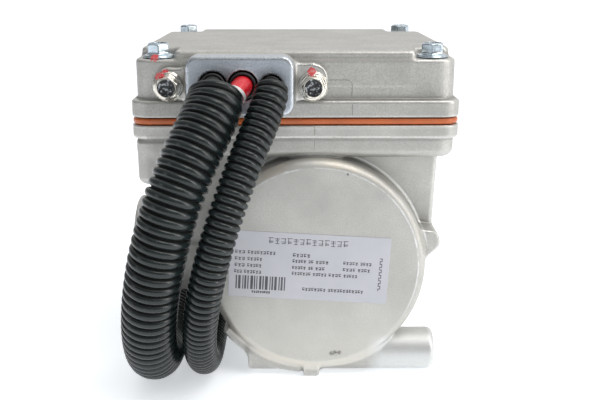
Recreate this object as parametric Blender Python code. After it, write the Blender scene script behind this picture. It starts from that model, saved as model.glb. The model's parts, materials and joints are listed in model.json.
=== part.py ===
"""Electric scroll compressor for vehicle air conditioning, built piece by piece.

A cast drum lies along Y and holds the motor, the main frame and the scroll pair. A square box
cast on top of it holds the inverter. Two corrugated conduits leave a cable block on the box.

Lengths are millimetres everywhere below; MM turns them into Blender's metres when a mesh is made.
X runs right, Y runs back along the shaft and Z runs up from the surface the compressor stands on.
"""

import math

import bmesh
import bpy
from mathutils import Matrix, Vector
from mathutils.geometry import interpolate_bezier

MM = 0.001
GAP = 0.3                      # left between pieces that touch on the real machine

# Footprint centre, which becomes the world origin
CENTRE_X, CENTRE_Y = -4.0, 15.75

# Shaft and drum
SHAFT_X, SHAFT_Z = 10.0, 60.0
DRUM_R, FACE_R, BORE_R = 55.0, 51.0, 48.0
FACE_Y, SPLIT_Y, REAR_Y = -78.5, 86.0, 112.5
FLANGE_R, EAR_PITCH_R, EAR_R = 58.0, 60.5, 7.2
EAR_ANGLES = [30, 90, 150, 210, 330]      # none at 270, where the rear mounting tube is
FRONT_WALL_Y = -73.0

# Inverter box: base tray on the drum, gasket, cover
BOX_X, BOX_Y, BOX_CORNER = 79.2, 76.5, 8.5
WALL_X, WALL_Y, WALL_CORNER = 77.0, 72.5, 9.0
TRAY_X = 77.9                  # the tray's own wall, a little wider than the cover's
TRAY_BOTTOM_Z, TRAY_FLOOR_Z, TRAY_TOP_Z = 114.3, 117.5, 131.3
LID_BOTTOM_Z, LID_LEDGE_Z, PAD_Z, LID_TOP_Z = 135.0, 143.3, 162.4, 166.5
LID_ROOF_Z = 161.0
COVER_BOLT_X, COVER_BOLT_Y = 66.0, 63.7

# Cable block on the front wall of the cover
BLOCK_X = (-51.2, -0.8)
BLOCK_Z = (137.3, 165.4)
BLOCK_FRONT_Y, EAR_FRONT_Y = -86.5, -78.3
BLOCK_BOLT_X, BLOCK_BOLT_Z = (-60.0, 8.0), 150.5
BLOCK_EAR_R, BLOCK_EAR_Z = 7.3, (151.6, 153.8)               # Z of the middle of each ear's upper round
CABLE_HOLES = [(-38.4, 6.0), (-24.6, 6.4), (-11.3, 4.6)]     # (x, radius)
CABLE_Z = 151.8
CABLE_STUBS = {0: (4.6, -90.6), 2: (3.4, -87.8)}             # hole: (radius, front end)
GROMMET_BORE_R = 5.0                                         # of the one the red lead goes through

# Mounting tubes, lug, tab and suction port on the castings
TUBE_R, TUBE_BORE_R = 10.8, 5.2
FRONT_TUBE_Y, REAR_TUBE_Y = -66.0, 99.0
TUBE_X = (-25.0, 71.6)
PORT_Y, PORT_Z, PORT_R, PORT_BORE_R, PORT_END_X = -30.0, 58.0, 26.0, 9.0, -85.0
DISCHARGE_X, DISCHARGE_Z, DISCHARGE_R, DISCHARGE_BORE_R, DISCHARGE_Y = 30.0, 78.0, 12.0, 5.5, 118.0

# M6 flange bolts
BOLT_R, BOLT_HOLE_R, BOLT_FLANGE_R, HEX_R, HEAD_H = 3.0, 3.3, 7.1, 5.8, 7.2

# Motor
CORE_Y = (-20.0, 16.0)
STATOR_BORE_R, ROTOR_R, SLOTS = 27.2, 26.5, 9

# Scroll set: orbit radius, involute base radius, wall thickness and wall heights
ORBIT_R, BASE_CIRCLE_R, WRAP_T = 2.8, 2.1, 3.2
WRAP_START, WRAP_END, WRAP_STEP = math.pi, 16.2, 0.28
ORBIT_BASE_Y, WRAP_ROOT_Y, WRAP_TIP_Y, FIXED_BACK_Y = 57.8, 64.0, 79.3, 85.7
PIN_PITCH_R, PIN_R = 31.0, 2.0
PIN_ANGLES = [30, 150, 270]

# Ball bearings: middle, half width, and (pitch radius, ball radius, balls) of each
FRONT_BEARING_Y, FRONT_BEARING_HALF, FRONT_BALLS = -68.7, 3.9, (9.0, 2.05, 7)
MAIN_BEARING_Y, MAIN_BEARING_HALF, MAIN_BALLS = 38.2, 5.5, (12.35, 2.4, 8)

# Where the orbiting scroll turns on the crank pin, and where the discharge reed is clamped
ORBIT_JOINT_Y = 60.0
REED_CLAMP_Z, REED_T = 80.0, 0.5

# Conduits: outer radius of the ridges and the route of the centre line
HV_R, LV_R = 13.0, 8.1
HV_ROUTE = [
    (-36.0, -97.5, 150.0), (-36.8, -102.1, 144.8), (-39.5, -107.3, 138.2), (-43.7, -113.2, 129.6),
    (-48.0, -118.1, 120.4), (-52.0, -121.8, 111.0), (-55.5, -123.8, 101.1), (-59.2, -124.4, 89.1),
    (-62.4, -123.3, 76.7), (-65.4, -120.0, 62.7), (-67.4, -115.6, 51.4), (-69.1, -109.4, 40.0),
    (-70.1, -102.0, 29.8), (-70.6, -92.6, 21.2), (-70.6, -81.0, 15.4), (-70.4, -68.0, 13.3),
    (-70.0, -52.0, 13.1), (-70.0, -25.0, 13.1), (-70.0, 5.0, 13.1), (-70.0, 35.0, 13.1),
    (-70.0, 65.0, 13.1), (-69.4, 93.0, 13.1), (-65.4, 120.0, 13.1), (-54.0, 142.6, 13.1),
    (-34.6, 157.0, 13.1), (-10.0, 162.4, 13.3), (15.0, 163.0, 14.0), (38.0, 163.0, 14.3),
]
LV_ROUTE = [
    (-11.0, -94.0, 152.6), (-11.5, -97.3, 148.6), (-13.4, -101.2, 143.0), (-16.4, -106.1, 135.8),
    (-20.1, -111.7, 127.6), (-24.1, -116.8, 118.3), (-28.1, -121.1, 108.0), (-32.1, -124.4, 96.7),
    (-35.7, -125.9, 85.4), (-38.8, -125.4, 73.7), (-41.4, -122.8, 62.5), (-43.4, -118.6, 51.8),
    (-45.0, -112.7, 41.2), (-46.0, -105.2, 31.0), (-46.4, -96.2, 21.8), (-46.4, -85.2, 14.2),
    (-46.3, -73.0, 9.8), (-46.1, -60.0, 8.3), (-46.0, -35.0, 8.2), (-46.0, -5.0, 8.2),
    (-46.0, 25.0, 8.2), (-46.0, 55.0, 8.2), (-45.6, 83.0, 8.2), (-42.2, 105.0, 8.2),
    (-32.4, 121.0, 8.2), (-15.4, 130.2, 8.4), (6.0, 133.0, 9.1), (26.0, 133.2, 9.3),
]

# Connectors on the conduits: length, half width and half height; they lie this far off the floor
HV_PLUG, LV_PLUG, PLUG_LIFT = (44.0, 16.0, 14.0), (28.0, 9.5, 9.0), 0.3

MATERIALS = {
    "cast_aluminium": ((0.46, 0.45, 0.42), 0.55, 0.85),
    "block_aluminium": ((0.38, 0.41, 0.46), 0.5, 0.85),
    "steel": ((0.52, 0.53, 0.55), 0.3, 1.0),
    "zinc_plate": ((0.55, 0.60, 0.66), 0.28, 1.0),
    "gasket_rubber": ((0.56, 0.12, 0.03), 0.35, 0.0),
    "black_rubber": ((0.02, 0.02, 0.02), 0.6, 0.0),
    "conduit_plastic": ((0.03, 0.03, 0.03), 0.45, 0.0),
    "red_sleeve": ((0.75, 0.02, 0.03), 0.4, 0.0),
    "label_film": ((0.80, 0.80, 0.84), 0.45, 0.0),
    "circuit_board": ((0.02, 0.16, 0.07), 0.5, 0.0),
    "dark_plastic": ((0.05, 0.05, 0.06), 0.5, 0.0),
    "orange_plastic": ((0.75, 0.20, 0.02), 0.45, 0.0),
    "copper": ((0.72, 0.30, 0.15), 0.35, 1.0),
    "lamination_steel": ((0.30, 0.31, 0.33), 0.45, 1.0),
    "spring_steel": ((0.42, 0.44, 0.50), 0.25, 1.0),
    "hard_alloy": ((0.62, 0.62, 0.60), 0.4, 0.9),
    "brass": ((0.70, 0.52, 0.22), 0.3, 1.0),
}

TURN_TO = {                    # rotation that brings a local Z axis onto a world direction
    "+Z": Matrix.Identity(4),
    "+Y": Matrix.Rotation(math.radians(-90), 4, "X"),
    "-Y": Matrix.Rotation(math.radians(90), 4, "X"),
    "+X": Matrix.Rotation(math.radians(90), 4, "Y"),
}


# ---------------------------------------------------------------- scene and materials

def clear_scene():
    for obj in list(bpy.data.objects):
        bpy.data.objects.remove(obj, do_unlink=True)


def make_material(name):
    if name in bpy.data.materials:
        return bpy.data.materials[name]
    colour, roughness, metallic = MATERIALS[name]
    mat = bpy.data.materials.new(name)
    mat.use_nodes = True
    shader = mat.node_tree.nodes["Principled BSDF"]
    shader.inputs["Base Color"].default_value = (*colour, 1.0)
    shader.inputs["Roughness"].default_value = roughness
    shader.inputs["Metallic"].default_value = metallic
    mat.diffuse_color = (*colour, 1.0)
    return mat


def make_empty(name, place, parent=None):
    """An axis that pieces hang on; its place is given in the design's millimetres."""
    empty = bpy.data.objects.new(name, None)
    bpy.context.scene.collection.objects.link(empty)
    start = Vector(parent["place"]) if parent else Vector((CENTRE_X, CENTRE_Y, 0.0))
    empty["place"] = place
    empty.parent = parent
    empty.location = (Vector(place) - start) * MM
    return empty


def face_outwards(bm):
    """Make every face of a closed body point out of it."""
    bmesh.ops.recalc_face_normals(bm, faces=bm.faces)
    if bm.calc_volume(signed=True) < 0.0:
        bmesh.ops.reverse_faces(bm, faces=bm.faces)


def add_piece(name, bm, mat, parent):
    """Turn a bmesh in design millimetres into a named object hanging on its parent empty."""
    face_outwards(bm)
    bm.transform(Matrix.Scale(MM, 4) @ Matrix.Translation(-Vector(parent["place"])))
    mesh = bpy.data.meshes.new(name)
    bm.to_mesh(mesh)
    bm.free()
    mesh.materials.append(make_material(mat))
    mesh.shade_smooth()
    mesh.set_sharp_from_angle(angle=math.radians(32))
    obj = bpy.data.objects.new(name, mesh)
    bpy.context.scene.collection.objects.link(obj)
    obj.parent = parent
    return obj


# ---------------------------------------------------------------- solids

def lathe(profile, centre, axis="+Y", segments=48):
    """Turned body. Profile points are (radius, height); a profile on the axis closes there."""
    bm = bmesh.new()
    verts = [bm.verts.new((radius, 0.0, height)) for radius, height in profile]
    edges = [bm.edges.new(pair) for pair in zip(verts, verts[1:])]
    if profile[0][0] > 0.0:
        edges.append(bm.edges.new((verts[-1], verts[0])))
    bmesh.ops.spin(bm, geom=verts + edges, cent=(0, 0, 0), axis=(0, 0, 1), angle=math.tau,
                   steps=segments, use_merge=True)
    bmesh.ops.remove_doubles(bm, verts=bm.verts, dist=1e-4)
    face_outwards(bm)
    bm.transform(Matrix.Translation(centre) @ TURN_TO[axis])
    return bm


def cylinder(radius, low, high, centre, axis="+Y", segments=24):
    return lathe([(0, low), (radius, low), (radius, high), (0, high)], centre, axis, segments)


def tube(inner, outer, low, high, centre, axis="+Y", segments=32):
    return lathe([(inner, low), (outer, low), (outer, high), (inner, high)], centre, axis, segments)


def loft(sections, axis="+Z"):
    """Closed body through outlines of one point count; each section is (outline, height)."""
    bm = bmesh.new()
    rings = [[bm.verts.new((x, y, height)) for x, y in outline] for outline, height in sections]
    for lower, upper in zip(rings, rings[1:]):
        for k in range(len(lower)):
            n = (k + 1) % len(lower)
            bm.faces.new((lower[k], lower[n], upper[n], upper[k]))
    bm.faces.new(list(reversed(rings[0])))
    bm.faces.new(rings[-1])
    face_outwards(bm)
    bm.transform(TURN_TO[axis])
    return bm


def prism_y(outline, low, high):
    """Extrusion along Y of an outline given as (x, z) points."""
    bm = loft([([(x, -z) for x, z in outline], low), ([(x, -z) for x, z in outline], high)], "+Y")
    return bm


def box(low, high):
    """Plain block between two corners."""
    corners = [(low[0], low[1]), (high[0], low[1]), (high[0], high[1]), (low[0], high[1])]
    return loft([(corners, low[2]), (corners, high[2])])


def circle(radius, points, centre=(0.0, 0.0)):
    angles = [math.tau * k / points for k in range(points)]
    return [(centre[0] + radius * math.cos(a), centre[1] + radius * math.sin(a)) for a in angles]


def rounded_rectangle(half_x, half_y, radius, centre=(0.0, 0.0), steps=3):
    """Rectangle with round corners, anticlockwise."""
    points = []
    for quarter in range(4):
        sx, sy = ((1, 1), (-1, 1), (-1, -1), (1, -1))[quarter]
        for k in range(steps + 1):
            a = math.radians(90 * (quarter + k / steps))
            points.append((centre[0] + sx * (half_x - radius) + radius * math.cos(a),
                           centre[1] + sy * (half_y - radius) + radius * math.sin(a)))
    return points


def cross_outline(wide_x, narrow_x, wide_y, narrow_y):
    """Rectangle with its four corners notched out, as (x, y) points, anticlockwise."""
    quarter = [(wide_x, narrow_y), (narrow_x, narrow_y), (narrow_x, wide_y)]
    points = []
    for sx, sy in ((1, 1), (-1, 1), (-1, -1), (1, -1)):
        corner = [(sx * x, sy * y) for x, y in quarter]
        points += corner if sx * sy > 0 else corner[::-1]
    return points


def polar(radius, degrees):
    """Point in the X, Z plane at an angle about the shaft axis."""
    a = math.radians(degrees)
    return SHAFT_X + radius * math.cos(a), SHAFT_Z + radius * math.sin(a)


def combine(bm, other, operation):
    """Exact Boolean of two bmesh bodies; both are used up and the result is returned."""
    pair = []
    for label, part in (("target", bm), ("tool", other)):
        mesh = bpy.data.meshes.new(label)
        part.to_mesh(mesh)
        part.free()
        obj = bpy.data.objects.new(label, mesh)
        bpy.context.scene.collection.objects.link(obj)
        pair.append(obj)
    target, tool = pair
    modifier = target.modifiers.new("combine", "BOOLEAN")
    modifier.solver = "EXACT"
    modifier.operation = operation
    modifier.object = tool
    graph = bpy.context.evaluated_depsgraph_get()
    result = bmesh.new()
    result.from_object(target, graph)
    for obj in pair:
        mesh = obj.data
        bpy.data.objects.remove(obj, do_unlink=True)
        bpy.data.meshes.remove(mesh)
    bmesh.ops.remove_doubles(result, verts=result.verts, dist=2e-3)
    bmesh.ops.dissolve_degenerate(result, edges=result.edges, dist=2e-3)
    bmesh.ops.dissolve_limit(result, verts=result.verts, edges=result.edges,
                             angle_limit=math.radians(0.1))
    return result


def join(bm, *others):
    for other in others:
        bm = combine(bm, other, "UNION")
    return bm


def cut(bm, *tools):
    for tool in tools:
        bm = combine(bm, tool, "DIFFERENCE")
    return bm


# ---------------------------------------------------------------- castings

def rear_ears(low, high):
    """Bolt ears round the joint between drum and rear cover."""
    ears = []
    for angle in EAR_ANGLES:
        x, z = polar(EAR_PITCH_R, angle)
        ears.append(cylinder(EAR_R, low, high, (x, 0, z), segments=12))
    return ears


def rear_bolt_holes(low, high):
    holes = []
    for angle in EAR_ANGLES:
        x, z = polar(EAR_PITCH_R, angle)
        holes.append(cylinder(BOLT_HOLE_R, low, high, (x, 0, z), segments=8))
    return holes


def cover_bolt_places():
    return [(sx * COVER_BOLT_X, sy * COVER_BOLT_Y) for sx, sy in ((-1, -1), (1, -1), (1, 1), (-1, 1))]


def cover_bolt_holes(low, high):
    return [cylinder(BOLT_HOLE_R, low, high, (x, y, 0), "+Z", 8) for x, y in cover_bolt_places()]


def mounting_tube(y):
    """Cross tube with softened ends that carries a mounting bolt along X."""
    low, high = TUBE_X
    profile = [(0, low), (TUBE_R - 1.5, low), (TUBE_R, low + 1.5), (TUBE_R, high - 3.0),
               (TUBE_R - 2.2, high), (0, high)]
    return lathe(profile, (0, y, TUBE_R), "+X", 20)


def mounting_bore(y):
    return cylinder(TUBE_BORE_R, TUBE_X[0] - 5, TUBE_X[1] + 5, (0, y, TUBE_R), "+X", 12)


def drum_body():
    """Solid outside of the drum: flat front face, round rim, rear joint flange."""
    profile = [(0, FACE_Y), (FACE_R, FACE_Y), (DRUM_R - 1.3, FACE_Y + 1.7),
               (DRUM_R, FACE_Y + 4.8), (DRUM_R, SPLIT_Y - 9), (FLANGE_R, SPLIT_Y - 8),
               (FLANGE_R, SPLIT_Y), (0, SPLIT_Y)]
    return lathe(profile, (SHAFT_X, 0, SHAFT_Z), segments=48)


def drum_cavity():
    """Motor space with the front bearing's seat standing on the end wall."""
    profile = [(0, FRONT_WALL_Y), (13, FRONT_WALL_Y), (13, -62.5), (17, -62.5), (17, FRONT_WALL_Y),
               (36, FRONT_WALL_Y), (36, -53), (BORE_R, -49), (BORE_R, SPLIT_Y + 2), (0, SPLIT_Y + 2)]
    return lathe(profile, (SHAFT_X, 0, SHAFT_Z), segments=36)


def tray_body():
    """Outside of the inverter tray: round lower edge and an outward flange on top."""
    sections = [
        (rounded_rectangle(TRAY_X - 4.6, WALL_Y - 4.6, 4.6), TRAY_BOTTOM_Z),
        (rounded_rectangle(TRAY_X - 1.4, WALL_Y - 1.4, 7.6), TRAY_BOTTOM_Z + 1.4),
        (rounded_rectangle(TRAY_X, WALL_Y, WALL_CORNER), TRAY_BOTTOM_Z + 4.6),
        (rounded_rectangle(TRAY_X, WALL_Y, WALL_CORNER), 124.4),
        (rounded_rectangle(BOX_X - 0.8, BOX_Y - 1.2, BOX_CORNER), 124.9),
        (rounded_rectangle(BOX_X, BOX_Y, BOX_CORNER), 126.4),
        (rounded_rectangle(BOX_X, BOX_Y, BOX_CORNER), TRAY_TOP_Z),
    ]
    return loft(sections)


def neck_body():
    """Thick web between the drum and the tray, a little narrower at its foot."""
    return loft([(rounded_rectangle(64.7, 61.5, 2.5, (4.9, 0)), 68.0),
                 (rounded_rectangle(65.9, 62.5, 2.5, (5.3, 0)), TRAY_BOTTOM_Z + 2)])


def deep_pocket_body():
    """The left side of the tray hangs lower than the rest."""
    centre = (12.6 - TRAY_X, -21.2)
    sections = [(rounded_rectangle(9.4, 48.0, 4.0, centre), 101.0),
                (rounded_rectangle(12.6, 51.2, 6.0, centre), 104.4),
                (rounded_rectangle(12.6, 51.2, 6.0, centre), TRAY_BOTTOM_Z + 5)]
    return loft(sections)


def port_boss():
    """Round boss on the left side that ends in the suction port's sealing face."""
    profile = [(0, PORT_END_X), (PORT_R - 2, PORT_END_X), (PORT_R, PORT_END_X + 2), (PORT_R, 0), (0, 0)]
    return lathe(profile, (0, PORT_Y, PORT_Z), "+X", 28)


def side_lug():
    """Small cast lug on the right of the drum, behind its rim."""
    outline = [(50, 79.2), (62, 78.6), (69.6, 77.4), (71.4, 75.2), (72.2, 71.4), (71.2, 69.0),
               (64.0, 62.4), (50, 58)]
    return prism_y(outline, -75.0, -60.0)


def rim_band():
    """Short raised flange that follows the drum's lower left rim, with square ends."""
    angles = [217 + k * (262.5 - 217) / 8 for k in range(9)]
    outline = [polar(59.4, a) for a in angles] + [polar(50.0, a) for a in reversed(angles)]
    return prism_y(outline, -75.5, -64.0)


def add_motor_housing(root):
    bm = join(drum_body(), neck_body(), tray_body(), deep_pocket_body(), port_boss(), side_lug(),
              rim_band(), box((3.8, FACE_Y, 0.0), (11.9, -66.0, 14.0)), mounting_tube(FRONT_TUBE_Y),
              *rear_ears(SPLIT_Y - 8, SPLIT_Y))
    tray = cross_outline(69, 57, 66, 53)
    suction = lathe([(0, PORT_END_X - 2), (PORT_BORE_R + 1.5, PORT_END_X - 2),
                     (PORT_BORE_R + 1.5, PORT_END_X + 4), (PORT_BORE_R, PORT_END_X + 5.5),
                     (PORT_BORE_R, -30), (0, -30)], (0, PORT_Y, PORT_Z), "+X", 16)
    port_thread = cylinder(2.6, PORT_END_X - 2, PORT_END_X + 14, (0, PORT_Y, PORT_Z + 18), "+X", 8)
    terminal_hole = cylinder(12.0, 100.0, 120.0, (SHAFT_X, -41.0, 0), "+Z", 16)
    bm = cut(bm, drum_cavity(), loft([(tray, TRAY_FLOOR_Z), (tray, TRAY_TOP_Z + 2)]), suction,
             port_thread, terminal_hole, mounting_bore(FRONT_TUBE_Y),
             *cover_bolt_holes(118.0, TRAY_TOP_Z + 2), *rear_bolt_holes(SPLIT_Y - 10, SPLIT_Y + 2))
    add_piece("motor_housing", bm, "cast_aluminium", root)


def add_rear_cover(root):
    """Discharge cover: chamber behind the fixed scroll, port, rear mounting tube."""
    outside = [(0, SPLIT_Y), (BORE_R - GAP, SPLIT_Y), (BORE_R - GAP, SPLIT_Y + 1.4),
               (FLANGE_R, SPLIT_Y + 1.4), (FLANGE_R, 97.0), (52.5, 97.0), (52.5, REAR_Y - 5),
               (51.0, REAR_Y - 1.8), (47.5, REAR_Y), (0, REAR_Y)]
    chamber = [(0, SPLIT_Y - 2), (37, SPLIT_Y - 2), (37, 104.0), (35, 106.0), (0, 106.0)]
    axis = (SHAFT_X, 0, SHAFT_Z)
    port = (DISCHARGE_X, 0, DISCHARGE_Z)
    boss = lathe([(0, 104), (DISCHARGE_R, 104), (DISCHARGE_R, DISCHARGE_Y - 1),
                  (DISCHARGE_R - 1, DISCHARGE_Y), (0, DISCHARGE_Y)], port, segments=20)
    bm = join(lathe(outside, axis, segments=48), boss, mounting_tube(REAR_TUBE_Y),
              *rear_ears(SPLIT_Y + 1.4, 97.0))
    bm = cut(bm, lathe(chamber, axis, segments=32), mounting_bore(REAR_TUBE_Y),
             cylinder(DISCHARGE_BORE_R, 100, DISCHARGE_Y + 2, port, segments=12),
             *rear_bolt_holes(SPLIT_Y, 99.0))
    add_piece("rear_cover", bm, "cast_aluminium", root)


def add_rear_gasket(root):
    low, high = SPLIT_Y + GAP, SPLIT_Y + 1.1
    bm = join(tube(BORE_R + 0.2, FLANGE_R - 0.5, low, high, (SHAFT_X, 0, SHAFT_Z), segments=48),
              *rear_ears(low, high))
    add_piece("rear_gasket", cut(bm, *rear_bolt_holes(low - 1, high + 1)), "black_rubber", root)


def add_inverter_cover(root):
    """Lid with a ledge round its foot, four low bolt pads and a raised top plate between them."""
    shell = loft([
        (rounded_rectangle(BOX_X, BOX_Y, BOX_CORNER), LID_BOTTOM_Z),
        (rounded_rectangle(BOX_X, BOX_Y, BOX_CORNER), LID_LEDGE_Z - 1.0),
        (rounded_rectangle(BOX_X - 1.0, BOX_Y - 1.0, BOX_CORNER), LID_LEDGE_Z),
        (rounded_rectangle(WALL_X, WALL_Y, WALL_CORNER), LID_LEDGE_Z + 0.3),
        (rounded_rectangle(WALL_X - 0.4, WALL_Y - 0.3, WALL_CORNER), PAD_Z - 1.2),
        (rounded_rectangle(WALL_X - 1.6, WALL_Y - 1.5, WALL_CORNER - 1.2), PAD_Z),
    ])
    plate = loft([(cross_outline(WALL_X - 0.5, 57.8, WALL_Y - 0.4, 51.5), PAD_Z - 6),
                  (cross_outline(WALL_X - 0.6, 57.8, WALL_Y - 0.5, 51.5), LID_TOP_Z - 1.5),
                  (cross_outline(WALL_X - 2.0, 56.4, WALL_Y - 2.0, 50.1), LID_TOP_Z)])
    hollow = cross_outline(69, 56, 61.5, 51)
    holes = [cylinder(radius + 0.4, -80, -50, (x, 0, CABLE_Z), segments=16)
             for x, radius in CABLE_HOLES]
    threads = [cylinder(BOLT_HOLE_R, -80, -67.0, (x, 0, BLOCK_BOLT_Z), segments=12)
               for x in BLOCK_BOLT_X]
    bm = cut(join(shell, plate), loft([(hollow, LID_BOTTOM_Z - 2), (hollow, LID_ROOF_Z)]),
             *cover_bolt_holes(LID_BOTTOM_Z - 2, LID_TOP_Z + 2), *holes, *threads)
    add_piece("inverter_cover", bm, "cast_aluminium", root)


def add_cover_gasket(root):
    """Silicone seal between tray and lid, bulging slightly past neither flange."""
    low, high = TRAY_TOP_Z + GAP, LID_BOTTOM_Z - GAP
    middle = (low + high) / 2
    sections = [(rounded_rectangle(BOX_X - 1.3, BOX_Y - 1.3, BOX_CORNER), low),
                (rounded_rectangle(BOX_X - 0.4, BOX_Y - 0.4, BOX_CORNER), middle),
                (rounded_rectangle(BOX_X - 1.3, BOX_Y - 1.3, BOX_CORNER), high)]
    hollow = cross_outline(69.5, 57.5, 66.5, 53.5)
    bm = cut(loft(sections), loft([(hollow, low - 1), (hollow, high + 1)]),
             *cover_bolt_holes(low - 1, high + 1))
    add_piece("cover_gasket", bm, "gasket_rubber", root)


def block_ear(side):
    """Bolt ear beside the block, left (0) or right (1): a round end on a short neck."""
    toward, near = (1, BLOCK_X[0] + 2) if side == 0 else (-1, BLOCK_X[1] - 2)
    points = []
    for start, middle_z in ((90, BLOCK_EAR_Z[side]), (180, BLOCK_BOLT_Z)):
        for k in range(5):
            a = math.radians(start + 22.5 * k)
            points.append((BLOCK_BOLT_X[side] + toward * BLOCK_EAR_R * math.cos(a),
                           middle_z + BLOCK_EAR_R * math.sin(a)))
    return prism_y(points + [(near, BLOCK_BOLT_Z - 7.9), (near, 161.1)], EAR_FRONT_Y, -WALL_Y - GAP)


def add_cable_block(root):
    """Cast plate that carries the three cable outlets, bolted to the cover's front wall."""
    centre = ((BLOCK_X[0] + BLOCK_X[1]) / 2, -(BLOCK_Z[0] + BLOCK_Z[1]) / 2)
    half_x, half_z = (BLOCK_X[1] - BLOCK_X[0]) / 2, (BLOCK_Z[1] - BLOCK_Z[0]) / 2
    body = loft([(rounded_rectangle(half_x - 1.6, half_z - 1.6, 4.0, centre), BLOCK_FRONT_Y),
                 (rounded_rectangle(half_x - 0.4, half_z - 0.4, 5.2, centre), BLOCK_FRONT_Y + 0.5),
                 (rounded_rectangle(half_x, half_z, 5.6, centre), BLOCK_FRONT_Y + 1.7),
                 (rounded_rectangle(half_x, half_z, 5.6, centre), -WALL_Y - GAP)], "+Y")
    bm = join(body, block_ear(0), block_ear(1))
    ledge = box((-80, -BOX_Y - GAP, 130), (40, -60, LID_LEDGE_Z + GAP + 0.1))
    holes = [cylinder(radius, -90, -60, (x, 0, CABLE_Z), segments=20) for x, radius in CABLE_HOLES]
    bolts = [cylinder(BOLT_HOLE_R, -90, -60, (x, 0, BLOCK_BOLT_Z), segments=12)
             for x in BLOCK_BOLT_X]
    add_piece("cable_block", cut(bm, ledge, *holes, *bolts), "block_aluminium", root)


# ---------------------------------------------------------------- fasteners

def bolt_body(length):
    """Flange bolt along local Z: the bearing face is at 0 and the hexagon stands above it."""
    hexagon = []
    for k in range(12):
        reach = HEX_R if k % 2 == 0 else HEX_R * math.cos(math.radians(30))
        a = math.radians(30 * k)
        hexagon.append((reach * math.cos(a), reach * math.sin(a)))
    return loft([(circle(BOLT_R, 12), -length), (circle(BOLT_R, 12), 0.0),
                 (circle(BOLT_FLANGE_R, 12), 0.0), (circle(BOLT_FLANGE_R, 12), 1.0),
                 (hexagon, 2.0), (hexagon, HEAD_H)])


def add_bolt(name, place, direction, length, root):
    bm = bolt_body(length)
    bm.transform(Matrix.Translation(place) @ TURN_TO[direction])
    add_piece(name, bm, "zinc_plate", root)


def add_bolts(root):
    for k, (x, y) in enumerate(cover_bolt_places()):
        add_bolt(f"cover_bolt_{k + 1}", (x, y, PAD_Z + GAP), "+Z", 42.0, root)
    for k, x in enumerate(BLOCK_BOLT_X):
        add_bolt(f"block_bolt_{k + 1}", (x, EAR_FRONT_Y - GAP, BLOCK_BOLT_Z), "-Y", 11.0, root)
    for k, angle in enumerate(EAR_ANGLES):
        x, z = polar(EAR_PITCH_R, angle)
        add_bolt(f"rear_bolt_{k + 1}", (x, 97.0 + GAP, z), "+Y", 18.5, root)


# ---------------------------------------------------------------- cable outlets and label

def add_cable_outlets(root):
    """Rubber grommets; the outer two end in the stub of the cable that they are moulded on."""
    front, back = BLOCK_FRONT_Y + 0.8, -73.5
    for k, (x, radius) in enumerate(CABLE_HOLES):
        outer = radius - GAP
        if k in CABLE_STUBS:
            stub, end = CABLE_STUBS[k]
            profile = [(0, end), (stub, end), (stub, front), (outer, front), (outer, back), (0, back)]
            bm = lathe(profile, (x, 0, CABLE_Z), segments=20)
        else:
            bm = tube(GROMMET_BORE_R, outer, front, back, (x, 0, CABLE_Z), segments=20)
        add_piece(f"cable_grommet_{k + 1}", bm, "black_rubber", root)


def add_red_sleeve(root):
    """Heat-shrink sleeve of the positive lead, from its grommet to the big conduit's mouth."""
    x = CABLE_HOLES[1][0]
    route = [(x, -74.5, CABLE_Z), (x, -84.0, CABLE_Z), (x - 0.2, -87.4, CABLE_Z - 0.3),
             (x - 0.6, -89.6, CABLE_Z - 1.3), (x - 1.2, -91.2, CABLE_Z - 3.0)]
    add_tube_curve("red_sleeve", route, 4.6, "red_sleeve", 2, root)


def add_label(root):
    """Blank rating plate stuck on the drum's face, set a little askew."""
    bm = prism_y(rounded_rectangle(40.5, 17.4, 1.0, steps=2), FACE_Y - GAP - 0.35, FACE_Y - GAP)
    bm.transform(Matrix.Translation((5.8, 0, 60.3)) @ Matrix.Rotation(math.radians(3.4), 4, "Y"))
    add_piece("rating_label", bm, "label_film", root)


# ---------------------------------------------------------------- electronics

def add_electronics(root):
    add_piece("inverter_board", box((-52, -46, 141.0), (52, 58, 142.6)), "circuit_board", root)
    capacitor = loft([(rounded_rectangle(22, 17, 3, (-26, 28), 3), 142.9),
                      (rounded_rectangle(22, 17, 3, (-26, 28), 3), 158.0),
                      (rounded_rectangle(21, 16, 2, (-26, 28), 3), 159.0)])
    add_piece("dc_link_capacitor", capacitor, "dark_plastic", root)
    module = join(box((16, -16, TRAY_FLOOR_Z + GAP), (54, 34, 124.0)),
                  *[box((19 + 8 * k, y, 123.0), (20.2 + 8 * k, y + 1.2, 140.7))
                    for k in range(5) for y in (-14, 31)])
    add_piece("power_module", module, "dark_plastic", root)
    add_hermetic_terminal(root)


def add_hermetic_terminal(root):
    """Sealed feed-through that carries the three motor phases out of the drum."""
    centre = (SHAFT_X, -41.0, 0)
    body = lathe([(0, 110.0), (11.7, 110.0), (11.7, TRAY_FLOOR_Z + GAP), (14.0, TRAY_FLOOR_Z + GAP),
                  (14.0, 120.0), (0, 120.0)], centre, "+Z", 16)
    for x, y in circle(6.0, 3, (SHAFT_X, -41.0)):
        body = join(body, cylinder(1.4, 104.5, 140.7, (x, y, 0), "+Z", 8))
    add_piece("hermetic_terminal", body, "steel", root)


# ---------------------------------------------------------------- motor

def slot_outline():
    """Stator bore and its slots as one star-shaped outline of (x, z) points."""
    pitch = 360 / SLOTS
    shape = [(STATOR_BORE_R, -3.2), (28.8, -3.2), (29.8, -10.5), (40.5, -12.6),
             (40.5, 12.6), (29.8, 10.5), (28.8, 3.2), (STATOR_BORE_R, 3.2), (STATOR_BORE_R, 14.0),
             (STATOR_BORE_R, 26.0)]
    return [polar(radius, pitch * k + angle) for k in range(SLOTS) for radius, angle in shape]


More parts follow.
